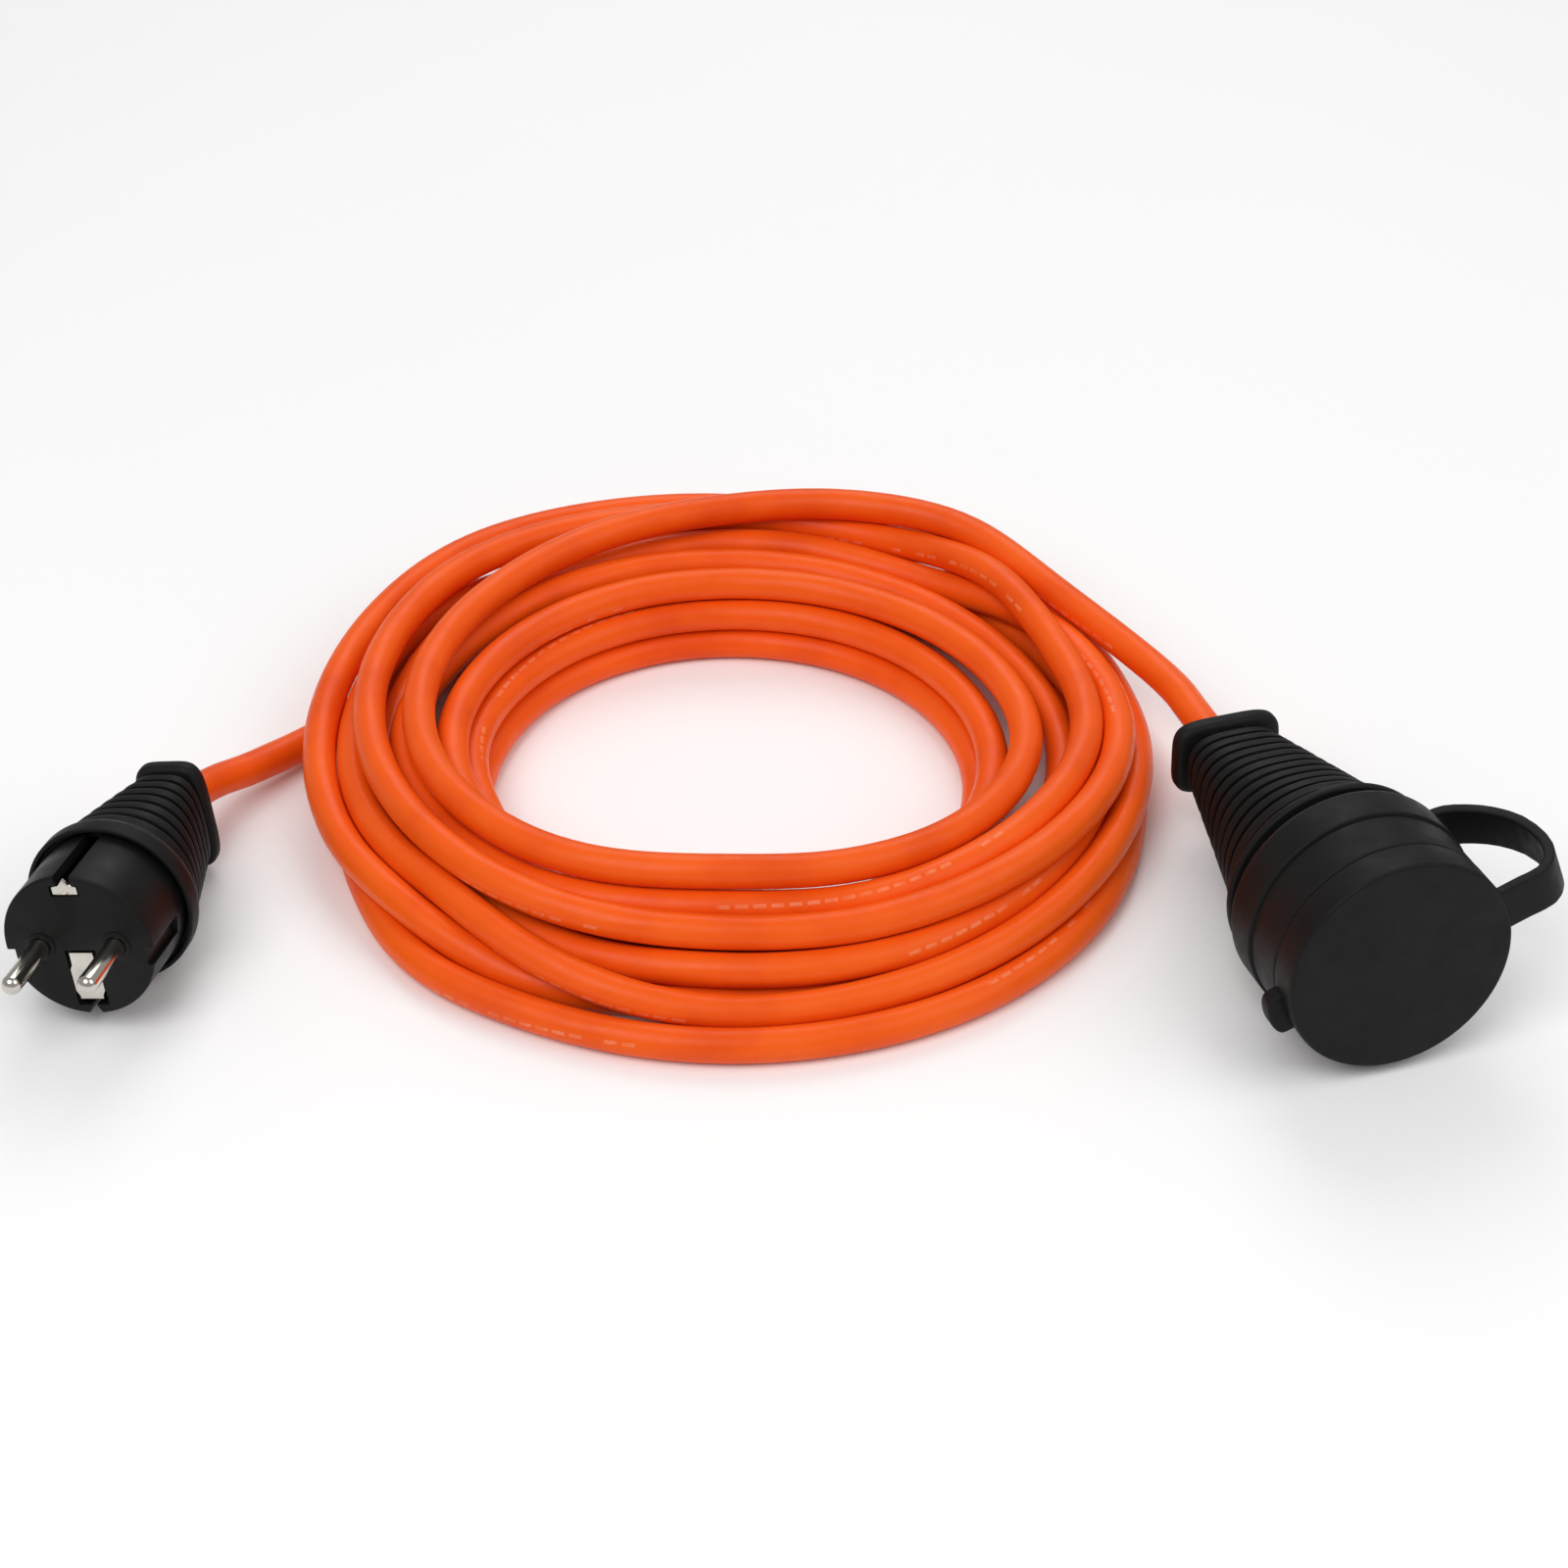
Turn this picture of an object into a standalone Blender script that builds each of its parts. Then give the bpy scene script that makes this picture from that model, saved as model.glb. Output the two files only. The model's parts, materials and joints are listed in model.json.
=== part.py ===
# Outdoor extension cord: a moulded plug, a coiled three-core cable and a coupler with a tethered cap.
# Metres, +Z up. The object lies on the plane Z = 0, with its origin midway between plug and coupler.
# Plug and coupler are each modelled on their own axis: +Z out of the front face, +X to the right
# and +Y up for someone who looks at that face, and z = 0 on the front face.

import math

import bpy
from mathutils import Matrix, Vector

GAP = 0.0003            # between pieces that touch
ROUND = 32              # sides of a large round piece
SMALL_ROUND = 16        # sides of a small round piece

# Cable
CABLE_D = 0.0085
CORE_D = 0.0028
CRIMP_D = 0.0040
CRIMP_LENGTH = 0.0055
CORE_LAY_RADIUS = 0.0021      # from the cable's axis to each core's axis

# Coil of the cable
COIL_CENTRE = (-0.0125, 0.0589)
COIL_INNER_R = 0.0610
COIL_OUTER_R = 0.1080
COIL_HEIGHT = 0.0290
COIL_EDGE_R = 0.0060

# Where the plug and the coupler lie: front face centre, and the turn about the vertical
PLUG_FACE = (-0.1630, -0.0298)
PLUG_YAW = math.radians(-12.0)
PLUG_ROLL = math.radians(9.6)
COUPLER_FACE = (0.1417, -0.0456)
COUPLER_YAW = math.radians(17.6)
COUPLER_PITCH = math.radians(4.7)    # its cable holds the grip's end up

# Plug: pins and earth contacts
PIN_D = 0.0048
PIN_LENGTH = 0.0190
PIN_SPACING = 0.0190
PIN_TAIL = 0.0285             # how far the pin's rear end is behind the face
PLUG_INSERT_R = 0.0186
PLUG_INSERT_LENGTH = 0.0270
PLUG_SPIGOT_R = 0.0168
PLUG_SHOULDER_Z = -0.0212     # where the insert narrows to its spigot
EARTH_STRIP_W = 0.0056
EARTH_STRIP_T = 0.0008
EARTH_STRIP_Y = 0.0140        # from the axis to the strip's middle plane
EARTH_HOLE_Y = 0.0100
EARTH_HOLE_D = 0.0050
EARTH_GROOVE_W = 0.0072
EARTH_PLATE_W = 0.0072

# Plug: rubber grip
PLUG_FLANGE_R = 0.0208
PLUG_FLANGE_FRONT = -0.0188
PLUG_FLANGE_REAR = -0.0265
PLUG_DISH_R = 0.0195
PLUG_DISH_DEPTH = 0.0018
PLUG_GRIP_END = -0.0608
PLUG_RIBS = 7
PLUG_GRIP_END_HALF = (0.0078, 0.0125)
PLUG_PLATE_HALF = (0.0090, 0.0144)
PLUG_PLATE_T = 0.0050
RIB_DEPTH = 0.0013
CHAMBER_CLEAR = 0.0006        # round the contacts and cores inside a grip
YOKE_BEHIND = 0.0034          # from the insert's rear face to the rear of the earth yoke

# Coupler: rubber grip
CAP_R = 0.0278
CAP_HEIGHT = 0.0085
COLLAR_R = 0.0284
FRONT_RING_R = 0.0277
STEP_Z = -0.0210              # from the front ring to the collar
COLLAR_REAR = -0.0335
GROOVE_R = 0.0224
GROOVE_REAR = -0.0385
COUPLER_GRIP_START = -0.0425
COUPLER_GRIP_END = -0.0955
COUPLER_RIBS = 11
COUPLER_GRIP_START_R = 0.0230
COUPLER_GRIP_END_HALF = (0.0110, 0.0078)
COUPLER_PLATE_HALF = (0.0141, 0.0100)
COUPLER_PLATE_T = 0.0050

# Coupler: insert and contacts
RECESS_R = 0.0195
RECESS_DEPTH = 0.0175
INSERT_WALL = 0.0032
FLOOR_T = 0.0025
BOSS_R = 0.0052
BOSS_LENGTH = 0.0170
PIN_HOLE_D = 0.0056
CONTACT_D = 0.0068
CONTACT_BORE_D = 0.0050
CONTACT_LENGTH = 0.0150
SOCKET_STRIP_W = 0.0050
SOCKET_STRIP_T = 0.0008

# Cap with its strap
CAP_DISC_T = 0.0032
CAP_RIM_T = 0.0030
CAP_RING_DEPTH = 0.0040       # how far the sealing ring reaches into the recess
CAP_RING_T = 0.0024
TAB_WIDTH = 0.0110
TAB_REACH = 0.0042
TAB_HEIGHT = 0.0042
STRAP_ANGLE = math.radians(20.0)
STRAP_WIDTH = 0.0110
STRAP_T = 0.0027
RING_T = 0.0020

BLACK = (0.018, 0.018, 0.018, 1.0)
ORANGE = (0.80, 0.095, 0.014, 1.0)
NICKEL = (0.66, 0.64, 0.60, 1.0)
BRASS = (0.70, 0.52, 0.26, 1.0)
BROWN = (0.13, 0.045, 0.018, 1.0)
BLUE = (0.02, 0.10, 0.45, 1.0)
EARTH_GREEN = (0.20, 0.45, 0.03, 1.0)


def clear_scene():
    for thing in list(bpy.data.objects):
        bpy.data.objects.remove(thing, do_unlink=True)


def finish_of(name, colour, roughness, metallic=0.0):
    material = bpy.data.materials.new(name)
    material.use_nodes = True
    shader = material.node_tree.nodes["Principled BSDF"]
    shader.inputs["Base Color"].default_value = colour
    shader.inputs["Roughness"].default_value = roughness
    shader.inputs["Metallic"].default_value = metallic
    material.diffuse_color = colour
    return material


def add_object(name, data, parent, finish):
    thing = bpy.data.objects.new(name, data)
    bpy.context.scene.collection.objects.link(thing)
    thing.parent = parent
    if finish:
        thing.data.materials.append(finish)
    return thing


def add_empty(name, parent, place, turn=None):
    empty = bpy.data.objects.new(name, None)
    bpy.context.scene.collection.objects.link(empty)
    empty.parent = parent
    empty.location = place
    if turn is not None:
        empty.rotation_euler = turn.to_euler()
    return empty


def mesh_from(name, points, faces):
    mesh = bpy.data.meshes.new(name)
    mesh.from_pydata(points, [], faces)
    mesh.update()
    mesh.shade_smooth()
    mesh.set_sharp_from_angle(angle=math.radians(35))
    return mesh


# ---- shapes on a local axis --------------------------------------------------------------------

def skinned(rings):
    # A closed skin over rings of equal point counts, with flat ends.
    count = len(rings[0])
    points = [point for ring in rings for point in ring]
    faces = [tuple(reversed(range(count)))]
    for i in range(len(rings) - 1):
        for j in range(count):
            k = (j + 1) % count
            faces.append((i * count + j, i * count + k, (i + 1) * count + k, (i + 1) * count + j))
    faces.append(tuple((len(rings) - 1) * count + j for j in range(count)))
    return points, faces


def turned(profile, sides=ROUND, centre=(0.0, 0.0)):
    # A closed outline of (radius, z), anticlockwise with radius to the right, turned about Z.
    points = []
    rings = []
    for radius, z in profile:
        if radius < 1e-7:
            rings.append([len(points)] * sides)
            points.append((centre[0], centre[1], z))
            continue
        rings.append([len(points) + j for j in range(sides)])
        for j in range(sides):
            a = 2 * math.pi * (j + 0.5) / sides
            points.append((centre[0] + radius * math.cos(a), centre[1] + radius * math.sin(a), z))
    faces = []
    for i in range(len(profile)):
        first, second = rings[i], rings[(i + 1) % len(profile)]
        for j in range(sides):
            k = (j + 1) % sides
            corners = []
            for corner in (first[j], first[k], second[k], second[j]):
                if corner not in corners:
                    corners.append(corner)
            if len(corners) > 2:
                faces.append(tuple(corners))
    return points, faces


def rod(radius, low, high, centre=(0.0, 0.0), sides=SMALL_ROUND):
    return turned([(0.0, low), (radius, low), (radius, high), (0.0, high)], sides, centre)


def tube(outer, inner, low, high, centre=(0.0, 0.0), sides=SMALL_ROUND):
    return turned([(inner, low), (outer, low), (outer, high), (inner, high)], sides, centre)


def block(low, high):
    (x0, y0, z0), (x1, y1, z1) = low, high
    bottom = [(x0, y0, z0), (x1, y0, z0), (x1, y1, z0), (x0, y1, z0)]
    top = [(x, y, z1) for x, y, _ in bottom]
    return skinned([bottom, top])


def section(half_x, half_y, squareness, z, sides=ROUND):
    # squareness 2 is an ellipse, 4 and more a rectangle with round corners
    power = 2.0 / squareness
    ring = []
    for j in range(sides):
        a = 2 * math.pi * (j + 0.5) / sides
        c, s = math.cos(a), math.sin(a)
        x = half_x * math.copysign(abs(c) ** power, c)
        y = half_y * math.copysign(abs(s) ** power, s)
        ring.append((x, y, z))
    return ring


def mix(a, b, t):
    return a + (b - a) * t


def ribbed(start_z, end_z, start_half, end_half, end_squareness, ribs):
    # Sections of a grip that narrows from a circle to a rounded rectangle, with a groove behind each rib.
    pitch = (end_z - start_z) / ribs
    rings = []
    for i in range(ribs):
        for share, depth in ((0.0, 0.0), (0.60, 0.0), (0.68, RIB_DEPTH), (0.94, RIB_DEPTH)):
            t = (i + share) / ribs
            eased = t ** 0.85
            half_x = mix(start_half[0], end_half[0], eased) - depth
            half_y = mix(start_half[1], end_half[1], eased) - depth
            z = start_z + pitch * (i + share)
            rings.append(section(half_x, half_y, mix(2.0, end_squareness, t), z))
    return rings


def plate_rings(half, thickness, front_z):
    edge = thickness * 0.22
    return [
        section(half[0] - edge, half[1] - edge, 4.5, front_z),
        section(half[0], half[1], 4.5, front_z - edge),
        section(half[0], half[1], 4.5, front_z - thickness + edge),
        section(half[0] - edge, half[1] - edge, 4.5, front_z - thickness),
    ]


def cut_from(target, shape, parent, name, operation="DIFFERENCE"):
    cutter = add_object(name, mesh_from(name, *shape), parent, None)
    cutter.hide_render = True
    cutter.display_type = "WIRE"
    modifier = target.modifiers.new(name, "BOOLEAN")
    modifier.operation = operation
    modifier.solver = "EXACT"
    modifier.object = cutter
    return cutter


def solid(name, shape, parent, finish):
    return add_object(name, mesh_from(name, *shape), parent, finish)


# ---- curves ------------------------------------------------------------------------------------

def smooth_curve(route, spacing):
    # Points at about this spacing on a smooth curve through the route's own points.
    line = [Vector(p) for p in route]
    line = [2 * line[0] - line[1]] + line + [2 * line[-1] - line[-2]]
    points = []
    for i in range(1, len(line) - 2):
        a, b, c, d = line[i - 1 : i + 3]
        steps = max(2, round((c - b).length / spacing))
        for k in range(steps):
            t = k / steps
            bend = (2 * a - 5 * b + 4 * c - d) * t**2 + (3 * b - a - 3 * c + d) * t**3
            points.append(0.5 * (2 * b + (c - a) * t + bend))
    points.append(line[-2].copy())
    return points


def wire(name, points, diameter, finish, parent=None, resolution=2):
    curve = bpy.data.curves.new(name, "CURVE")
    curve.dimensions = "3D"
    curve.bevel_depth = diameter / 2
    curve.bevel_resolution = resolution
    curve.use_fill_caps = True
    spline = curve.splines.new("POLY")
    spline.points.add(len(points) - 1)
    for point, place in zip(spline.points, points):
        point.co = (*place, 1.0)
    return add_object(name, curve, parent, finish)


# ---- how each end lies on the plane --------------------------------------------------------------

def face_turn(yaw, pitch, roll):
    return (
        Matrix.Rotation(yaw, 3, "Z")
        @ Matrix.Rotation(math.radians(90) - pitch, 3, "X")
        @ Matrix.Rotation(roll, 3, "Z")
    )


def resting_pitch(front_touch, rear_touch):
    # The tilt of an end that rests on two places, each given as (z, half height).
    return math.atan2(front_touch[1] - rear_touch[1], front_touch[0] - rear_touch[0])


def lying(name, face, yaw, pitch, roll, touch):
    # Puts the face centre where the widest round part, given as (z, radius), touches the plane.
    height = touch[1] * math.cos(pitch) - touch[0] * math.sin(pitch)
    return add_empty(name, None, (face[0], face[1], height), face_turn(yaw, pitch, roll))


def plate_half_height(half, roll):
    # The lowest point of the rounded end plate once it is rolled.
    ring = section(half[0], half[1], 4.5, 0.0)
    return max(abs(x * math.sin(roll) + y * math.cos(roll)) for x, y, _ in ring)


# ---- plug --------------------------------------------------------------------------------------

def plug_insert(frame, finish):
    # The contact carrier: a round nose with earth grooves above and below, and a spigot in the grip.
    nose_edge = 0.0006
    outline = [
        (0.0, -PLUG_INSERT_LENGTH),
        (PLUG_SPIGOT_R, -PLUG_INSERT_LENGTH),
        (PLUG_SPIGOT_R, PLUG_SHOULDER_Z),
        (PLUG_INSERT_R, PLUG_SHOULDER_Z),
        (PLUG_INSERT_R, -nose_edge),
        (PLUG_INSERT_R - nose_edge, 0.0),
        (0.0, 0.0),
    ]
    insert = solid("plug_insert", turned(outline), frame, finish)
    past = 0.001
    groove_floor = EARTH_STRIP_Y - EARTH_STRIP_T / 2 - GAP
    groove_half = EARTH_GROOVE_W / 2
    for side, word in ((1, "upper"), (-1, "lower")):
        ends = sorted((side * groove_floor, side * (PLUG_INSERT_R + past)))
        groove = block((-groove_half, ends[0], -PLUG_INSERT_LENGTH - past), (groove_half, ends[1], past))
        cut_from(insert, groove, frame, "cut_groove_" + word)
    # shallow bed for the earth plate on the face
    bed_depth = EARTH_STRIP_T + GAP
    bed_half = EARTH_PLATE_W / 2 + GAP
    bed = block((-bed_half, -PLUG_INSERT_R - past, -bed_depth), (bed_half, -EARTH_HOLE_Y + 0.0085, past))
    cut_from(insert, bed, frame, "cut_plate_bed")
    # side keys
    key_depth, key_half, key_length = 0.0022, 0.0023, 0.0150
    for side, word in ((1, "right"), (-1, "left")):
        ends = sorted((side * (PLUG_INSERT_R - key_depth), side * (PLUG_INSERT_R + past)))
        key = block((ends[0], -key_half - 0.003, -key_length), (ends[1], key_half - 0.003, past))
        cut_from(insert, key, frame, "cut_key_" + word)
    for side, word in ((1, "right"), (-1, "left")):
        hole = rod(PIN_D / 2 + GAP, -PLUG_INSERT_LENGTH - past, past, (side * PIN_SPACING / 2, 0.0))
        cut_from(insert, hole, frame, "cut_pin_hole_" + word)
    sleeve_hole = rod(EARTH_HOLE_D / 2 + 0.0008 + GAP, -0.0200, past, (0.0, -EARTH_HOLE_Y))
    cut_from(insert, sleeve_hole, frame, "cut_earth_sleeve")
    return insert


def plug_pin(name, side, frame, finish):
    tip = PIN_D / 2
    outline = [(0.0, -PIN_TAIL), (tip, -PIN_TAIL)]
    for step in range(5):
        a = math.radians(90) * step / 5
        outline.append((tip * math.cos(a), PIN_LENGTH - tip + tip * math.sin(a)))
    outline.append((0.0, PIN_LENGTH))
    return solid(name, turned(outline, SMALL_ROUND, (side * PIN_SPACING / 2, 0.0)), frame, finish)


def plug_earth_bracket(frame, finish):
    # One bent strip: a plate with the earth hole on the face, two side strips, and a yoke behind.
    rear = -PLUG_INSERT_LENGTH - YOKE_BEHIND
    half_w = EARTH_STRIP_W / 2
    t = EARTH_STRIP_T
    y_out = EARTH_STRIP_Y + t / 2
    y_in = EARTH_STRIP_Y - t / 2
    sink = 0.0001
    low_strip = block((-half_w, -y_out, rear + sink), (half_w, -y_in, 0.0))
    bracket = solid("plug_earth_bracket", low_strip, frame, finish)
    plate_half = EARTH_PLATE_W / 2
    plate = block((-plate_half, -y_in - sink, -t), (plate_half, -EARTH_HOLE_Y + 0.0080, 0.0))
    yoke = block((-half_w, -y_out + sink, rear), (half_w, y_out - sink, rear + t))
    upper = block((-half_w, y_in, rear + sink), (half_w, y_out, -sink))
    cut_from(bracket, plate, frame, "join_plate", "UNION")
    cut_from(bracket, yoke, frame, "join_yoke", "UNION")
    cut_from(bracket, upper, frame, "join_upper", "UNION")
    hole = rod(EARTH_HOLE_D / 2, -0.003, 0.001, (0.0, -EARTH_HOLE_Y))
    cut_from(bracket, hole, frame, "cut_earth_hole")
    return bracket


def plug_grip(frame, finish):
    f = PLUG_FLANGE_R
    rings = [
        section(f - 0.0008, f - 0.0008, 2.0, PLUG_FLANGE_FRONT),
        section(f, f, 2.0, PLUG_FLANGE_FRONT - 0.0010),
        section(f, f, 2.0, PLUG_FLANGE_FRONT - 0.0045),
        section(f - 0.0010, f - 0.0010, 2.0, PLUG_FLANGE_REAR + 0.0010),
    ]
    start = f - 0.0022
    rings += ribbed(PLUG_FLANGE_REAR, PLUG_GRIP_END, (start, start), PLUG_GRIP_END_HALF, 3.6, PLUG_RIBS)
    rings += plate_rings(PLUG_PLATE_HALF, PLUG_PLATE_T, PLUG_GRIP_END)
    grip = solid("plug_grip", skinned([list(reversed(r)) for r in rings]), frame, finish)
    past = 0.001
    dish_floor = PLUG_FLANGE_FRONT - PLUG_DISH_DEPTH
    cut_from(grip, rod(PLUG_DISH_R, dish_floor, PLUG_FLANGE_FRONT + past, sides=ROUND), frame, "cut_dish")
    cut_from(
        grip,
        rod(PLUG_INSERT_R + GAP, PLUG_SHOULDER_Z - GAP, dish_floor + past, sides=ROUND),
        frame,
        "cut_nose_seat",
    )
    pocket_rear = -PLUG_INSERT_LENGTH - GAP
    cut_from(
        grip,
        rod(PLUG_SPIGOT_R + GAP, pocket_rear, PLUG_SHOULDER_Z + past * 0.5, sides=ROUND),
        frame,
        "cut_spigot_pocket",
    )
    return grip


def grip_chamber(grip, frame, halves, squareness, bore_end, word):
    # The hollow behind the contacts, as (half width, half height, z), and the cable's bore behind it.
    bore = CABLE_D / 2 + GAP
    narrow_end = halves[-1][2]
    rings = [section(half_x, half_y, squareness, z) for half_x, half_y, z in halves]
    cut_from(grip, skinned([list(reversed(r)) for r in rings]), frame, "cut_chamber_" + word)
    cut_from(grip, rod(bore, bore_end - 0.001, narrow_end + 0.001, sides=24), frame, "cut_bore_" + word)


def cores_and_crimps(prefix, frame, starts, sheath_front, sheath_rear, finishes):
    # Three crimps behind the contacts, three cores into the sheath, and the sheath's end in the bore.
    # A start is the contact's rear end and the angle at which its core lies in the sheath, in degrees.
    crimp_finish, sheath_finish = finishes["crimp"], finishes["sheath"]
    for word, (x, y, z, lay_angle) in starts.items():
        crimp = rod(CRIMP_D / 2, z - CRIMP_LENGTH, z - GAP, (x, y), 12)
        solid(f"{prefix}_crimp_{word}", crimp, frame, crimp_finish)
        a = math.radians(lay_angle)
        lay = (CORE_LAY_RADIUS * math.cos(a), CORE_LAY_RADIUS * math.sin(a))
        core_start = z - CRIMP_LENGTH - GAP
        core_end = sheath_front + GAP
        run = core_start - core_end
        route = [
            (x, y, core_start),
            (mix(x, lay[0], 0.15), mix(y, lay[1], 0.15), core_start - run * 0.25),
            (mix(x, lay[0], 0.50), mix(y, lay[1], 0.50), core_start - run * 0.52),
            (mix(x, lay[0], 0.92), mix(y, lay[1], 0.92), core_start - run * 0.80),
            (lay[0], lay[1], core_end),
        ]
        wire(f"{prefix}_core_{word}", smooth_curve(route, 0.0025), CORE_D, finishes[word], frame)
    sheath = rod(CABLE_D / 2, sheath_rear, sheath_front, sides=SMALL_ROUND)
    solid(f"{prefix}_cable_end", sheath, frame, sheath_finish)


def build_plug(finishes):
    half_height = plate_half_height(PLUG_PLATE_HALF, PLUG_ROLL)
    front_touch = (PLUG_FLANGE_FRONT - 0.0045, PLUG_FLANGE_R)
    rear_touch = (PLUG_GRIP_END - PLUG_PLATE_T, half_height)
    pitch = resting_pitch(front_touch, rear_touch)
    frame = lying("plug_frame", PLUG_FACE, PLUG_YAW, pitch, PLUG_ROLL, front_touch)
    rear = PLUG_GRIP_END - PLUG_PLATE_T
    grip = plug_grip(frame, finishes["rubber"])
    yoke_rear = -PLUG_INSERT_LENGTH - YOKE_BEHIND
    wide = PIN_SPACING / 2 + CRIMP_D / 2 + CHAMBER_CLEAR
    tall = EARTH_STRIP_Y + EARTH_STRIP_T / 2 + CHAMBER_CLEAR
    narrow = CABLE_D / 2 + 2 * CHAMBER_CLEAR
    crimps_end = -PIN_TAIL - CRIMP_LENGTH
    chamber = [
        (wide, tall, -PLUG_INSERT_LENGTH + 0.001),
        (wide, tall, yoke_rear - GAP),
        (wide, narrow * 1.6, crimps_end - 0.0010),
        (narrow, narrow, PLUG_GRIP_END + 0.0050),
    ]
    grip_chamber(grip, frame, chamber, 2.4, rear, "plug")
    plug_insert(frame, finishes["carrier"])
    plug_pin("plug_pin_live", 1, frame, finishes["nickel"])
    plug_pin("plug_pin_neutral", -1, frame, finishes["nickel"])
    plug_earth_bracket(frame, finishes["nickel"])
    sleeve_wall = 0.0007
    bore = EARTH_HOLE_D / 2
    front = -EARTH_STRIP_T - GAP
    sleeve = tube(bore + sleeve_wall, bore, -0.0190, front, (0.0, -EARTH_HOLE_Y))
    solid("plug_earth_sleeve", sleeve, frame, finishes["nickel"])
    starts = {
        "live": (PIN_SPACING / 2, 0.0, -PIN_TAIL, -30),
        "neutral": (-PIN_SPACING / 2, 0.0, -PIN_TAIL, 210),
        "earth": (0.0, 0.0, yoke_rear, 90),
    }
    cores_and_crimps("plug", frame, starts, PLUG_GRIP_END + 0.004, rear + GAP, finishes)
    return frame, rear


# ---- coupler -----------------------------------------------------------------------------------

def coupler_front():
    return -CAP_HEIGHT - GAP


def socket_grip(frame, finish):
    front = coupler_front()
    edge = 0.0007
    outline = [
        (FRONT_RING_R - edge, front),
        (FRONT_RING_R, front - edge),
        (FRONT_RING_R, STEP_Z),
        (COLLAR_R, STEP_Z - edge),
        (COLLAR_R, COLLAR_REAR + 0.0030),
        (COLLAR_R - 0.0016, COLLAR_REAR),
        (GROOVE_R, COLLAR_REAR - 0.0004),
        (GROOVE_R, GROOVE_REAR),
        (COUPLER_GRIP_START_R + 0.0004, GROOVE_REAR - 0.0006),
        (COUPLER_GRIP_START_R + 0.0004, COUPLER_GRIP_START + 0.0006),
    ]
    rings = [section(r, r, 2.0, z) for r, z in outline]
    start = (COUPLER_GRIP_START_R, COUPLER_GRIP_START_R)
    rings += ribbed(COUPLER_GRIP_START, COUPLER_GRIP_END, start, COUPLER_GRIP_END_HALF, 3.2, COUPLER_RIBS)
    rings += plate_rings(COUPLER_PLATE_HALF, COUPLER_PLATE_T, COUPLER_GRIP_END)
    grip = solid("socket_grip", skinned([list(reversed(r)) for r in rings]), frame, finish)
    past = 0.001
    insert_rear = front - RECESS_DEPTH - FLOOR_T
    seat = rod(RECESS_R + INSERT_WALL + GAP, insert_rear - 0.0016, front + past, sides=ROUND)
    cut_from(grip, seat, frame, "cut_insert_seat")
    return grip


def socket_insert(frame, finish):
    # A cup for the plug's nose, with two bosses behind its floor that hold the contacts.
    front = coupler_front() - GAP
    floor = coupler_front() - RECESS_DEPTH
    rear = floor - FLOOR_T
    outer = RECESS_R + INSERT_WALL
    edge = 0.0005
    outline = [
        (0.0, rear),
        (outer, rear),
        (outer, front),
        (RECESS_R + edge, front),
        (RECESS_R, front - edge),
        (RECESS_R, floor),
        (0.0, floor),
    ]
    insert = solid("socket_insert", turned(outline), frame, finish)
    past = 0.001
    boss_rear = rear - BOSS_LENGTH
    bosses = {"upper": (0.0, PIN_SPACING / 2), "lower": (0.0, -PIN_SPACING / 2)}
    for word, centre in bosses.items():
        cut_from(insert, rod(BOSS_R, boss_rear, rear + past, centre), frame, "join_boss_" + word, "UNION")
    for word, centre in bosses.items():
        entry = rod(PIN_HOLE_D / 2, rear - past, floor + past, centre)
        cut_from(insert, entry, frame, "cut_pin_entry_" + word)
        pocket = rod(CONTACT_D / 2 + GAP, boss_rear - past, rear + GAP, centre)
        cut_from(insert, pocket, frame, "cut_contact_pocket_" + word)
    strip = SOCKET_STRIP_W / 2 + GAP
    inner = RECESS_R - SOCKET_STRIP_T - 2 * GAP - 0.0004
    for side, word in ((1, "right"), (-1, "left")):
        ends = sorted((side * inner, side * (RECESS_R + 0.0004)))
        slot = block((ends[0], -strip, rear - past), (ends[1], strip, front - 0.0025))
        cut_from(insert, slot, frame, "cut_strip_slot_" + word)
    return insert


def socket_contact(name, side, frame, finish):
    # A sleeve with a slot that lets it spring, and a closed tail.
    centre_y = side * PIN_SPACING / 2
    front = coupler_front() - RECESS_DEPTH - FLOOR_T
    rear = front - CONTACT_LENGTH
    bore = CONTACT_BORE_D / 2
    outline = [
        (0.0, rear),
        (CONTACT_D / 2, rear),
        (CONTACT_D / 2, front),
        (bore, front),
        (bore, rear + 0.0030),
        (0.0, rear + 0.0030),
    ]
    contact = solid(name, turned(outline, SMALL_ROUND, (0.0, centre_y)), frame, finish)
    slot_half = 0.0004
    slot = block(
        (-slot_half, centre_y - CONTACT_D, rear + 0.0050),
        (slot_half, centre_y + CONTACT_D, front + 0.001),
    )
    cut_from(contact, slot, frame, "cut_slot_" + name)
    return contact


def socket_earth_bracket(frame, finish):
    # Two side springs in the recess, joined by a yoke behind the floor.
    floor = coupler_front() - RECESS_DEPTH
    rear = floor - FLOOR_T - GAP
    front = coupler_front() - CAP_RING_DEPTH - 2 * GAP
    half_w = SOCKET_STRIP_W / 2
    t = SOCKET_STRIP_T
    x_out = RECESS_R + 0.0004 - GAP
    x_in = x_out - t
    left_spring = block((-x_out, -half_w, rear - t), (-x_in, half_w, front))
    bracket = solid("socket_earth_bracket", left_spring, frame, finish)
    sink = 0.0001
    right_spring = block((x_in, -half_w, rear - t), (x_out, half_w, front))
    cut_from(bracket, right_spring, frame, "join_spring", "UNION")
    yoke_low = (-x_out + sink, -half_w + sink, rear - t + sink)
    yoke = block(yoke_low, (x_out - sink, half_w - sink, rear - sink))
    cut_from(bracket, yoke, frame, "join_socket_yoke", "UNION")
    return bracket


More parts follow.
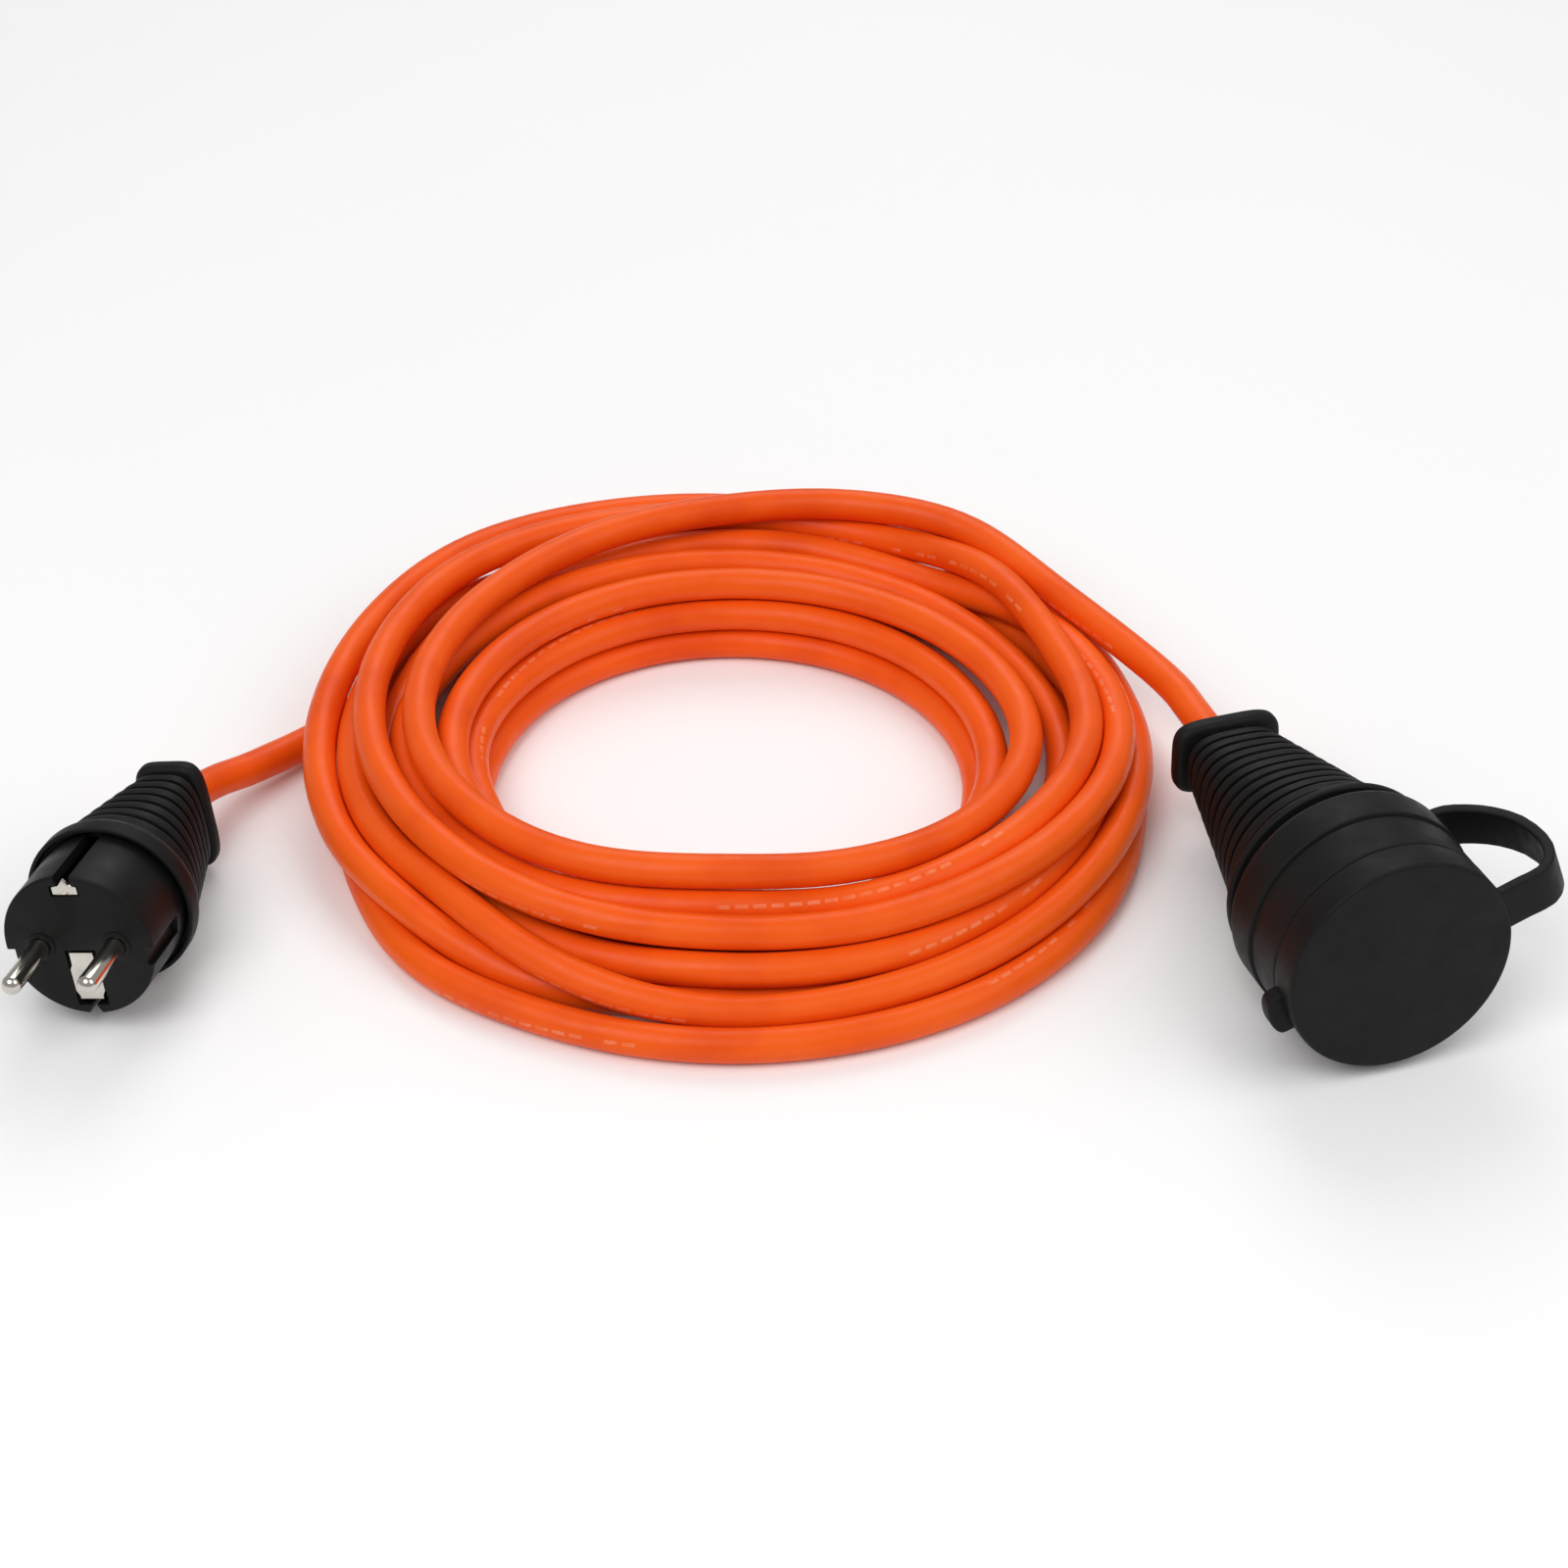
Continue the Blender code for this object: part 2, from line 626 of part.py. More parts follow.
def build_coupler(finishes):
    collar_touch = (COLLAR_REAR + 0.0030, COLLAR_R)
    rear = COUPLER_GRIP_END - COUPLER_PLATE_T
    frame = lying("coupler_frame", COUPLER_FACE, COUPLER_YAW, COUPLER_PITCH, 0.0, collar_touch)
    grip = socket_grip(frame, finishes["rubber"])
    insert_rear = coupler_front() - RECESS_DEPTH - FLOOR_T
    boss_rear = insert_rear - BOSS_LENGTH
    contact_rear = insert_rear - CONTACT_LENGTH
    wide = BOSS_R + CHAMBER_CLEAR
    tall = PIN_SPACING / 2 + BOSS_R + CHAMBER_CLEAR
    narrow = CABLE_D / 2 + 2 * CHAMBER_CLEAR
    crimps_end = contact_rear - CRIMP_LENGTH
    chamber = [
        (wide, tall, insert_rear),
        (wide, tall, boss_rear - 0.0010),
        (wide, PIN_SPACING / 2 + CRIMP_D / 2 + 2 * CHAMBER_CLEAR, crimps_end - 0.0010),
        (narrow, narrow, COUPLER_GRIP_END + 0.0140),
    ]
    grip_chamber(grip, frame, chamber, 4.0, rear, "coupler")
    socket_insert(frame, finishes["carrier"])
    socket_contact("socket_contact_live", 1, frame, finishes["brass"])
    socket_contact("socket_contact_neutral", -1, frame, finishes["brass"])
    socket_earth_bracket(frame, finishes["nickel"])
    starts = {
        "live": (0.0, PIN_SPACING / 2, contact_rear, 60),
        "neutral": (0.0, -PIN_SPACING / 2, contact_rear, -60),
        "earth": (0.0, 0.0, insert_rear - GAP - SOCKET_STRIP_T, 180),
    }
    cores_and_crimps("socket", frame, starts, COUPLER_GRIP_END + 0.010, rear + GAP, finishes)
    return frame, rear


# ---- cap, strap and ring -----------------------------------------------------------------------

def around(angle, radius, across, z):
    # A place given by its distance from the axis and its offset sideways, at this angle.
    return (
        radius * math.cos(angle) - across * math.sin(angle),
        radius * math.sin(angle) + across * math.cos(angle),
        z,
    )


def hung_on(thing, empty):
    # Keeps the piece where it is modelled, with the joint's empty as its parent.
    thing.parent = empty
    thing.location = -Vector(empty.location)
    return thing


def socket_cap(frame, hinge, finish):
    ring_outer = RECESS_R - GAP
    ring_inner = ring_outer - CAP_RING_T
    ring_rear = coupler_front() - CAP_RING_DEPTH
    edge = 0.0006
    outline = [
        (0.0, -CAP_DISC_T),
        (ring_inner, -CAP_DISC_T),
        (ring_inner, ring_rear),
        (ring_outer, ring_rear),
        (ring_outer, -CAP_DISC_T),
        (CAP_R - CAP_RIM_T, -CAP_DISC_T),
        (CAP_R - CAP_RIM_T, -CAP_HEIGHT),
        (CAP_R, -CAP_HEIGHT),
        (CAP_R, -edge),
        (CAP_R - edge, 0.0),
        (0.0, 0.0),
    ]
    cap = hung_on(solid("socket_cap", turned(outline), frame, finish), hinge)
    # thumb tab opposite the strap
    far = STRAP_ANGLE + math.pi
    half = TAB_WIDTH / 2
    top, bottom = -CAP_HEIGHT + TAB_HEIGHT, -CAP_HEIGHT
    inner, outer = CAP_R - CAP_RIM_T * 0.6, CAP_R + TAB_REACH
    outline = [
        (inner, -half),
        (CAP_R + TAB_REACH * 0.45, -half),
        (outer - 0.0006, -half * 0.62),
        (outer, 0.0),
        (outer - 0.0006, half * 0.62),
        (CAP_R + TAB_REACH * 0.45, half),
        (inner, half),
    ]
    rings = [[around(far, r, s, z) for r, s in outline] for z in (bottom, top)]
    hung_on(cut_from(cap, skinned(rings), frame, "join_tab", "UNION"), hinge)
    return cap


def cap_strap(frame, slide, finish):
    # A flat band that loops out from the ring behind the collar and back to the cap's rim.
    root = GROOVE_R + GAP + RING_T + GAP + STRAP_T / 2 + 0.0006
    reach = CAP_R + 0.0160
    leg_z = -STRAP_T / 2 - 0.0006
    groove_z = (COLLAR_REAR + GROOVE_REAR) / 2
    route = [
        (root, groove_z),
        (root + 0.0036, groove_z + 0.0008),
        (root + 0.0080, groove_z + 0.0042),
        (mix(root, reach, 0.72), groove_z + 0.0090),
        (mix(root, reach, 0.93), groove_z + 0.0160),
        (reach, mix(groove_z, leg_z, 0.72)),
        (reach - 0.0014, mix(groove_z, leg_z, 0.90)),
        (reach - 0.0052, leg_z),
        (CAP_R + 0.0050, leg_z),
        (CAP_R + GAP, leg_z),
    ]
    line = smooth_curve([(r, 0.0, z) for r, z in route], 0.0022)
    rings = []
    half_t, half_w = STRAP_T / 2, STRAP_WIDTH / 2
    for i, point in enumerate(line):
        before, after = line[max(i - 1, 0)], line[min(i + 1, len(line) - 1)]
        along = (after - before).normalized()
        if i == len(line) - 1:
            along = Vector((-1.0, 0.0, 0.0))
        out = Vector((-along.z, 0.0, along.x))
        ring = []
        for t, s in ((-half_t, half_w), (half_t, half_w), (half_t, -half_w), (-half_t, -half_w)):
            place = point + out * t
            ring.append(around(STRAP_ANGLE, place.x, s, place.z))
        rings.append(ring)
    return hung_on(solid("cap_strap", skinned(rings), frame, finish), slide)


def strap_ring(frame, finish):
    # The ring of the cap's tether, seated in the groove behind the collar.
    inner = GROOVE_R + GAP
    front, rear = COLLAR_REAR - 0.0004 - GAP, GROOVE_REAR + GAP
    return solid("strap_ring", tube(inner + RING_T, inner, rear, front, sides=ROUND), frame, finish)


def build_cap(frame, finishes):
    slide = add_empty("cap_pull_axis", frame, (0.0, 0.0, coupler_front()))
    hinge_place = Vector(around(STRAP_ANGLE, CAP_R + GAP, 0.0, coupler_front() + GAP / 2))
    hinge = add_empty("cap_swing_axis", frame, hinge_place)
    socket_cap(frame, hinge, finishes["rubber"])
    cap_strap(frame, slide, finishes["rubber"])
    strap_ring(frame, finishes["rubber"])
    return hinge


# ---- cord --------------------------------------------------------------------------------------

def cord_coil(finish):
    edge = COIL_EDGE_R
    low, high = 0.0, COIL_HEIGHT
    outline = [
        (COIL_INNER_R, low + edge),
        (COIL_INNER_R + edge * 0.3, low + edge * 0.3),
        (COIL_INNER_R + edge, low),
        (COIL_OUTER_R - edge, low),
        (COIL_OUTER_R - edge * 0.3, low + edge * 0.3),
        (COIL_OUTER_R, low + edge),
        (COIL_OUTER_R, high - edge),
        (COIL_OUTER_R - edge * 0.3, high - edge * 0.3),
        (COIL_OUTER_R - edge, high),
        (COIL_INNER_R + edge, high),
        (COIL_INNER_R + edge * 0.3, high - edge * 0.3),
        (COIL_INNER_R, high - edge),
    ]
    return solid("cord_coil", turned(outline, 48, COIL_CENTRE), None, finish)


def coil_approach(angle, slant, height):
    # The last stretch of a lead: straight at the coil's outer wall, turned by slant from square on.
    square = Vector((math.cos(angle), math.sin(angle), 0.0))
    clear = GAP + CABLE_D / 2 * abs(math.sin(slant))
    end = Vector((*COIL_CENTRE, height)) + square * (COIL_OUTER_R + clear)
    back = Matrix.Rotation(slant, 3, "Z") @ square
    return [tuple(end + back * step) for step in (0.010, 0.005, 0.0)]


def cord_lead(name, frame, rear, middle, approach, finish):
    # From the end plate of the plug or coupler to the coil's outer wall.
    bpy.context.view_layer.update()
    out = [tuple(frame.matrix_world @ Vector((0.0, 0.0, rear - step))) for step in (GAP, 0.002, 0.004)]
    return wire(name, smooth_curve(out + middle + approach, CABLE_D * 2), CABLE_D, finish)


# Hand-chosen points of the two free stretches, from each end plate towards the coil
PLUG_LEAD_ROUTE = [
    (-0.1470, 0.0431, 0.0132),
    (-0.1446, 0.0480, 0.0120),
    (-0.1414, 0.0526, 0.0106),
    (-0.1364, 0.0587, 0.0086),
]
COUPLER_LEAD_ROUTE = [
    (0.1078, 0.0610, 0.0217),
    (0.1050, 0.0700, 0.0213),
    (0.1021, 0.0790, 0.0209),
]


def build_cord(plug, coupler, finish):
    cord_coil(finish)
    plug_approach = coil_approach(math.radians(172), math.radians(58), 0.0070)
    coupler_approach = coil_approach(math.radians(20), math.radians(-79), 0.0205)
    cord_lead("cord_plug_lead", *plug, PLUG_LEAD_ROUTE, plug_approach, finish)
    cord_lead("cord_socket_lead", *coupler, COUPLER_LEAD_ROUTE, coupler_approach, finish)


def build():
    clear_scene()
    finishes = {
        "rubber": finish_of("rubber_black", BLACK, 0.62),
        "carrier": finish_of("carrier_black", BLACK, 0.45),
        "nickel": finish_of("nickel", NICKEL, 0.25, 1.0),
        "brass": finish_of("brass", BRASS, 0.30, 1.0),
        "sheath": finish_of("sheath_orange", ORANGE, 0.42),
        "crimp": finish_of("crimp_copper", BRASS, 0.35, 1.0),
        "live": finish_of("core_brown", BROWN, 0.45),
        "neutral": finish_of("core_blue", BLUE, 0.45),
        "earth": finish_of("core_green_yellow", EARTH_GREEN, 0.45),
    }
    plug = build_plug(finishes)
    coupler = build_coupler(finishes)
    build_cap(coupler[0], finishes)
    build_cord(plug, coupler, finishes["sheath"])


build()
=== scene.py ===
import json
import math

import bmesh
import bpy
import numpy as np
from mathutils import Matrix, Vector


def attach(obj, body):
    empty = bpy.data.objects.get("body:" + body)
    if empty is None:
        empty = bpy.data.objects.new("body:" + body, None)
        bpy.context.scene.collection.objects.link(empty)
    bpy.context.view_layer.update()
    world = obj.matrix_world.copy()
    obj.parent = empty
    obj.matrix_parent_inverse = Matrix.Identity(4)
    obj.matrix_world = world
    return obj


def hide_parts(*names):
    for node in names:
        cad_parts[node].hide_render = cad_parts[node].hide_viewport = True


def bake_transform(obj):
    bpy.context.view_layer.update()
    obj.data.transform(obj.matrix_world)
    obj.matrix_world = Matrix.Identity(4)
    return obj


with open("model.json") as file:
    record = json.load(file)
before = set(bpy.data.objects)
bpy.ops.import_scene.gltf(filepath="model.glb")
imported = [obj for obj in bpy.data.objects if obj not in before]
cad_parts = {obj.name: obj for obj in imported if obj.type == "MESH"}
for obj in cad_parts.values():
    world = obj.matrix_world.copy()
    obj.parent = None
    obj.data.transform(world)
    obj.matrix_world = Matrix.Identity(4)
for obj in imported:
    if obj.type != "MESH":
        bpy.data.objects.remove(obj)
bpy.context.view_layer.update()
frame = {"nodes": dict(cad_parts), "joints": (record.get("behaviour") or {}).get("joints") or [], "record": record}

nodes = frame["nodes"]


def addObject(name, data, stand=None, aim=None):
    # A new object, and for a camera or lamp where it stands and what it looks at
    thing = bpy.data.objects.new(name, data)
    bpy.context.scene.collection.objects.link(thing)
    if stand:
        thing.location = stand
        thing.rotation_euler = (Vector(aim) - Vector(stand)).to_track_quat("-Z", "Y").to_euler()
    return thing


cameraSetup = {
    "stand": (0.0011, -0.603, 0.5087),
    "lookAt": (0.0011, 0.0409, 0.0173),
    "lens": 74.0,
    "sensor": 36.0,
}


def placeCamera(setup):
    data = bpy.data.cameras.new("camera")
    data.lens = setup["lens"]
    data.sensor_width = setup["sensor"]
    data.clip_start = 0.01
    bpy.context.scene.camera = addObject("camera", data, setup["stand"], setup["lookAt"])


placeCamera(cameraSetup)
print("camera placed")


def middleOf(node):
    points = [v.co for v in nodes[node].data.vertices]
    return sum(points, Vector()) / len(points)


def placeFrom(origin, x, y, z):
    place = Matrix((x, y, z)).transposed().to_4x4()
    place.translation = origin
    return place


def plugPlace():
    # z out of the face, x from the neutral to the live pin
    face = next(m for m in frame["record"]["mounts"] if m["name"] == "plug_face")
    z = Vector(face["axis"]).normalized()
    live, neutral = middleOf("plug_pin_live"), middleOf("plug_pin_neutral")
    y = z.cross(live - neutral).normalized()
    middle = (live + neutral) / 2
    origin = middle + z * (Vector(face["pos_m"]) - middle).dot(z)
    return placeFrom(origin, y.cross(z), y, z)


couplerFit = {"strapAngle": math.radians(20.0), "hingeRadius": 0.0281, "hingeDepth": 0.00865}


def couplerPlace(fit):
    # z out of the cap's face, found from the two joints of the cap
    joints = {j["name"]: j for j in frame["joints"]}
    z = Vector(joints["cap_pull"]["axis"]).normalized()
    tangent = Vector(joints["cap_swing"]["axis"]).normalized()
    radial = tangent.cross(z).normalized()
    hinge = Vector(joints["cap_swing"]["pos_m"])
    origin = hinge - radial * fit["hingeRadius"] + z * fit["hingeDepth"]
    c, s = math.cos(fit["strapAngle"]), math.sin(fit["strapAngle"])
    return placeFrom(origin, radial * c - tangent * s, radial * s + tangent * c, z)


plugAt = plugPlace()
couplerAt = couplerPlace(couplerFit)


def feed(tree, socket, value):
    # A number or colour goes on the socket itself, another node's output is linked to it
    if isinstance(value, bpy.types.NodeSocket):
        tree.links.new(value, socket)
    else:
        socket.default_value = value


def mathsNode(tree, operation, values):
    node = tree.nodes.new("ShaderNodeMath")
    node.operation = operation
    for socket, value in zip(node.inputs, values):
        feed(tree, socket, value)
    return node.outputs[0]


class Finish:
    # A procedural material, with short ways to add its nodes
    def __init__(self, name, roughness, metallic=0.0, **sockets):
        self.material = bpy.data.materials.new(name)
        self.material.use_nodes = True
        self.tree = self.material.node_tree
        self.shader = self.tree.nodes["Principled BSDF"]
        self.shader.inputs["Roughness"].default_value = roughness
        self.shader.inputs["Metallic"].default_value = metallic
        for socket, value in sockets.items():
            self.shader.inputs[socket.replace("_", " ")].default_value = value
        self.place = self.tree.nodes.new("ShaderNodeTexCoord").outputs["Object"]

    def link(self, source, target):
        self.tree.links.new(source, target)

    def maths(self, operation, *values):
        return mathsNode(self.tree, operation, values)

    def times(self, *values):
        product = values[0]
        for value in values[1:]:
            product = self.maths("MULTIPLY", product, value)
        return product

    def chance(self, value):
        # One fixed random number for each whole step of the value
        node = self.tree.nodes.new("ShaderNodeTexWhiteNoise")
        node.noise_dimensions = "1D"
        self.link(self.maths("FLOOR", value), node.inputs["W"])
        return node.outputs["Value"]

    def noise(self, scale, detail=3.0, stretch=None):
        node = self.tree.nodes.new("ShaderNodeTexNoise")
        node.inputs["Scale"].default_value = scale
        node.inputs["Detail"].default_value = detail
        place = self.place
        if stretch:
            mapping = self.tree.nodes.new("ShaderNodeMapping")
            mapping.inputs["Scale"].default_value = stretch
            self.link(place, mapping.inputs["Vector"])
            place = mapping.outputs["Vector"]
        self.link(place, node.inputs["Vector"])
        return node.outputs["Fac"]

    def ramp(self, factor, stops):
        node = self.tree.nodes.new("ShaderNodeValToRGB")
        elements = node.color_ramp.elements
        while len(elements) < len(stops):
            elements.new(0.5)
        for element, (position, colour) in zip(elements, stops):
            element.position = position
            element.color = (*colour, 1.0)
        self.link(factor, node.inputs["Fac"])
        return node.outputs["Color"]

    def spread(self, factor, low, high, fromLow=0.3, fromHigh=0.7):
        node = self.tree.nodes.new("ShaderNodeMapRange")
        ends = {"From Min": fromLow, "From Max": fromHigh, "To Min": low, "To Max": high}
        for name, value in ends.items():
            node.inputs[name].default_value = value
        self.link(factor, node.inputs["Value"])
        return node.outputs["Result"]

    def mix(self, factor, a, b):
        node = self.tree.nodes.new("ShaderNodeMix")
        node.data_type = "RGBA"
        feed(self.tree, node.inputs["Factor"], factor)
        for socket, value in ((node.inputs[6], a), (node.inputs[7], b)):
            feed(self.tree, socket, (*value, 1.0) if isinstance(value, tuple) else value)
        return node.outputs[2]

    def colour(self, source):
        self.link(source, self.shader.inputs["Base Color"])

    def gloss(self, factor, roughness):
        self.link(self.spread(factor, *roughness), self.shader.inputs["Roughness"])

    def bump(self, height, distance, strength=1.0, under=None):
        node = self.tree.nodes.new("ShaderNodeBump")
        node.inputs["Distance"].default_value = distance
        node.inputs["Strength"].default_value = strength
        self.link(height, node.inputs["Height"])
        if under:
            self.link(under, node.inputs["Normal"])
        self.link(node.outputs["Normal"], self.shader.inputs["Normal"])
        return node.outputs["Normal"]


sheathLook = {
    "deep": (0.72, 0.064, 0.004),
    "main": (0.87, 0.102, 0.005),
    "worn": (0.91, 0.128, 0.009),
    "print": (0.9, 0.42, 0.24),
    "printStrength": 0.34,
    "printHeight": 0.018,       # half its height, as a share of the way round
    "printWind": 1.7,           # turns round the cable per metre
    "letterPitch": 0.0042,
    "wordPitch": 0.042,
    "dashShare": 0.72,          # of the pitch that a dash takes
    "dashesDropped": 0.22,
    "wordsDropped": 0.45,
    "roughness": (0.3, 0.44),
    "coreLay": 0.075,           # metres in which the three cores turn once
    "coreDepth": 0.00004,
    "grainDepth": 0.00005,
}


def sheathFinish(look):
    finish = Finish("orange_sheath", 0.4, Specular_IOR_Level=0.18)
    slow = finish.noise(38.0, 4.0)
    stops = [(0.3, look["deep"]), (0.52, look["main"]), (0.74, look["worn"])]
    body = finish.ramp(finish.maths("ADD", finish.times(slow, 0.7), 0.17), stops)
    # plain pale dashes in groups, wound slowly round the sheath
    uv = finish.tree.nodes.new("ShaderNodeUVMap")
    uv.uv_map = "UVMap"
    split = finish.tree.nodes.new("ShaderNodeSeparateXYZ")
    finish.link(uv.outputs["UV"], split.inputs["Vector"])
    along, around = split.outputs["X"], split.outputs["Y"]
    wound = finish.maths("FRACT", finish.maths("ADD", around, finish.times(along, look["printWind"])))
    offBand = finish.maths("ABSOLUTE", finish.maths("SUBTRACT", wound, 0.5))
    inBand = finish.maths("LESS_THAN", offBand, look["printHeight"])
    letter = finish.maths("DIVIDE", along, look["letterPitch"])
    inDash = finish.maths("LESS_THAN", finish.maths("FRACT", letter), look["dashShare"])
    kept = finish.maths("GREATER_THAN", finish.chance(letter), look["dashesDropped"])
    word = finish.maths("DIVIDE", along, look["wordPitch"])
    inWord = finish.maths("GREATER_THAN", finish.chance(word), look["wordsDropped"])
    rubbed = finish.spread(finish.noise(420.0, 2.0), 0.35, 1.0, 0.35, 0.6)
    shown = finish.times(rubbed, inBand, inDash, kept, inWord, look["printStrength"])
    finish.colour(finish.mix(shown, body, look["print"]))
    finish.gloss(finish.noise(260.0, 4.0), look["roughness"])
    # the three laid cores show faintly through the sheath
    lay = finish.maths("ADD", finish.times(around, 3.0), finish.times(along, 3.0 / look["coreLay"]))
    wave = finish.maths("SINE", finish.times(lay, 2 * math.pi))
    cores = finish.bump(wave, look["coreDepth"])
    finish.bump(finish.noise(1500.0, 3.0), look["grainDepth"], 0.5, cores)
    return finish.material


rubberLook = {
    "dark": (0.0045, 0.0045, 0.0044), "light": (0.007, 0.007, 0.0068),
    "roughness": (0.46, 0.6), "grain": 2600.0, "grainDepth": 0.00006,
}
carrierLook = {
    "dark": (0.004, 0.004, 0.004), "light": (0.0065, 0.0065, 0.0065),
    "roughness": (0.36, 0.5), "grain": 3200.0, "grainDepth": 0.00004,
}


def mouldedFinish(name, look):
    # Black moulded rubber or plastic: a slight bloom, a fine grain and uneven gloss
    finish = Finish(name, sum(look["roughness"]) / 2, Specular_IOR_Level=0.16)
    bloomed = tuple(v * 1.25 for v in look["light"])
    stops = [(0.34, look["dark"]), (0.6, look["light"]), (0.8, bloomed)]
    finish.colour(finish.ramp(finish.noise(55.0, 5.0), stops))
    finish.gloss(finish.noise(180.0, 4.0), look["roughness"])
    broad = finish.bump(finish.noise(140.0, 2.0), 0.00012, 0.35)
    finish.bump(finish.noise(look["grain"], 3.0), look["grainDepth"], 0.6, broad)
    return finish.material


metalLooks = {
    "nickel_plate": {
        "dull": (0.57, 0.54, 0.49), "bright": (0.66, 0.63, 0.57),
        "roughness": (0.13, 0.24), "brush": (1.0, 0.12, 1.0),
    },
    "spring_brass": {
        "dull": (0.52, 0.36, 0.15), "bright": (0.74, 0.54, 0.25),
        "roughness": (0.24, 0.4), "brush": (1.0, 0.1, 1.0),
    },
    "crimp_copper": {
        "dull": (0.48, 0.26, 0.14), "bright": (0.7, 0.42, 0.24),
        "roughness": (0.28, 0.44), "brush": (0.2, 1.0, 1.0),
    },
}


def metalFinish(name):
    # Plated or plain metal, drawn along one direction
    look = metalLooks[name]
    finish = Finish(name, sum(look["roughness"]) / 2, 1.0)
    finish.colour(finish.ramp(finish.noise(120.0, 5.0), [(0.32, look["dull"]), (0.62, look["bright"])]))
    drawn = finish.noise(900.0, 3.0, look["brush"])
    finish.gloss(drawn, look["roughness"])
    finish.bump(drawn, 0.000006, 0.4)
    return finish.material


coreColours = {
    "brown_core": [(0.13, 0.045, 0.018)],
    "blue_core": [(0.02, 0.1, 0.45)],
    "green_yellow_core": [(0.05, 0.3, 0.04), (0.62, 0.52, 0.03)],
}


def coreFinish(name):
    # Core insulation, with lengthwise bands where it has two colours
    finish = Finish(name, 0.42)
    first, *second = coreColours[name]
    if second:
        wave = finish.tree.nodes.new("ShaderNodeTexWave")
        wave.inputs["Scale"].default_value = 140.0
        wave.inputs["Distortion"].default_value = 0.6
        finish.link(finish.place, wave.inputs["Vector"])
        finish.colour(finish.ramp(wave.outputs["Fac"], [(0.48, first), (0.56, second[0])]))
    else:
        tone = finish.noise(200.0, 3.0)
        finish.colour(finish.ramp(tone, [(0.3, tuple(v * 0.8 for v in first)), (0.7, first)]))
    finish.bump(finish.noise(2000.0, 2.0), 0.00003, 0.4)
    return finish.material


orangeSheath = sheathFinish(sheathLook)
blackRubber = mouldedFinish("black_rubber", rubberLook)
blackCarrier = mouldedFinish("black_carrier", carrierLook)
nickelPlate = metalFinish("nickel_plate")
springBrass = metalFinish("spring_brass")
crimpCopper = metalFinish("crimp_copper")
brownCore = coreFinish("brown_core")
blueCore = coreFinish("blue_core")
earthCore = coreFinish("green_yellow_core")


def repaint(node, material):
    slots = nodes[node].material_slots
    if not slots:
        nodes[node].data.materials.append(material)
    for slot in slots:
        slot.material = material


for end in ("plug", "socket"):
    for word, material in (("live", brownCore), ("neutral", blueCore), ("earth", earthCore)):
        repaint(f"{end}_core_{word}", material)
        repaint(f"{end}_crimp_{word}", crimpCopper)
print("finishes made")


def meshObject(name, mesh, material):
    mesh.materials.clear()
    mesh.materials.append(material)
    return addObject(name, mesh)


def settle(mesh, sharpAngle):
    # Merges doubles, turns faces outwards and marks the hard edges
    work = bmesh.new()
    work.from_mesh(mesh)
    bmesh.ops.remove_doubles(work, verts=work.verts, dist=1e-6)
    bmesh.ops.recalc_face_normals(work, faces=work.faces)
    work.to_mesh(mesh)
    work.free()
    mesh.shade_smooth()
    mesh.set_sharp_from_angle(angle=math.radians(sharpAngle))


def skin(name, rings, material, loop=False, sharpAngle=32.0):
    # A closed shell over rings of equal point counts: with filled ends, or joined end to start
    rings = [np.asarray(ring, float) for ring in rings]
    count = len(rings[0])
    points = np.concatenate(rings)
    faces = []
    spans = len(rings) if loop else len(rings) - 1
    for i in range(spans):
        a, b = i * count, ((i + 1) % len(rings)) * count
        for j in range(count):
            k = (j + 1) % count
            faces.append((a + j, a + k, b + k, b + j))
    if not loop:
        faces.append(tuple(reversed(range(count))))
        faces.append(tuple(range((len(rings) - 1) * count, len(rings) * count)))
    mesh = bpy.data.meshes.new(name)
    mesh.from_pydata(points.tolist(), [], faces)
    settle(mesh, sharpAngle)
    return meshObject(name, mesh, material)


def section(halfX, halfY, squareness, z, sides=128):
    # squareness 2 is an ellipse, 4 and more a rectangle with round corners
    a = 2 * math.pi * (np.arange(sides) + 0.5) / sides
    c, s = np.cos(a), np.sin(a)
    power = 2.0 / squareness
    x = halfX * np.sign(c) * np.abs(c) ** power
    y = halfY * np.sign(s) * np.abs(s) ** power
    return np.stack([x, y, np.full(sides, z)], 1)


def circle(radius, z, sides=128, centre=(0.0, 0.0)):
    ring = section(radius, radius, 2.0, z, sides)
    ring[:, :2] += centre
    return ring


def rounded(outline, radius, steps=4, closed=False):
    # The outline of (radius, z) corners with each corner rounded off
    rounds = radius if hasattr(radius, "__len__") else [radius] * len(outline)
    points = []
    last = len(outline) - 1
    for i, corner in enumerate(outline):
        here = np.array(corner, float)
        if rounds[i] <= 0 or (not closed and i in (0, last)):
            points.append(here)
            continue
        inward = np.array(outline[i - 1], float) - here
        onward = np.array(outline[(i + 1) % len(outline)], float) - here
        reach = min(rounds[i], np.linalg.norm(inward) * 0.45, np.linalg.norm(onward) * 0.45)
        start = here + inward / np.linalg.norm(inward) * reach
        finish = here + onward / np.linalg.norm(onward) * reach
        for step in range(steps + 1):
            t = step / steps
            points.append((1 - t) ** 2 * start + 2 * t * (1 - t) * here + t * t * finish)
    return points


def lathe(name, outline, material, sides=128, centre=(0.0, 0.0), loop=False, sharpAngle=32.0):
    # Turns an outline of (radius, z), and keeps a hair of radius on the axis for settle to close
    rings = [circle(max(r, 2e-7), z, sides, centre) for r, z in outline]
    return skin(name, rings, material, loop, sharpAngle)


def rod(name, radius, low, high, material, centre):
    return lathe(name, [(0.0, low), (radius, low), (radius, high), (0.0, high)], material, 48, centre)


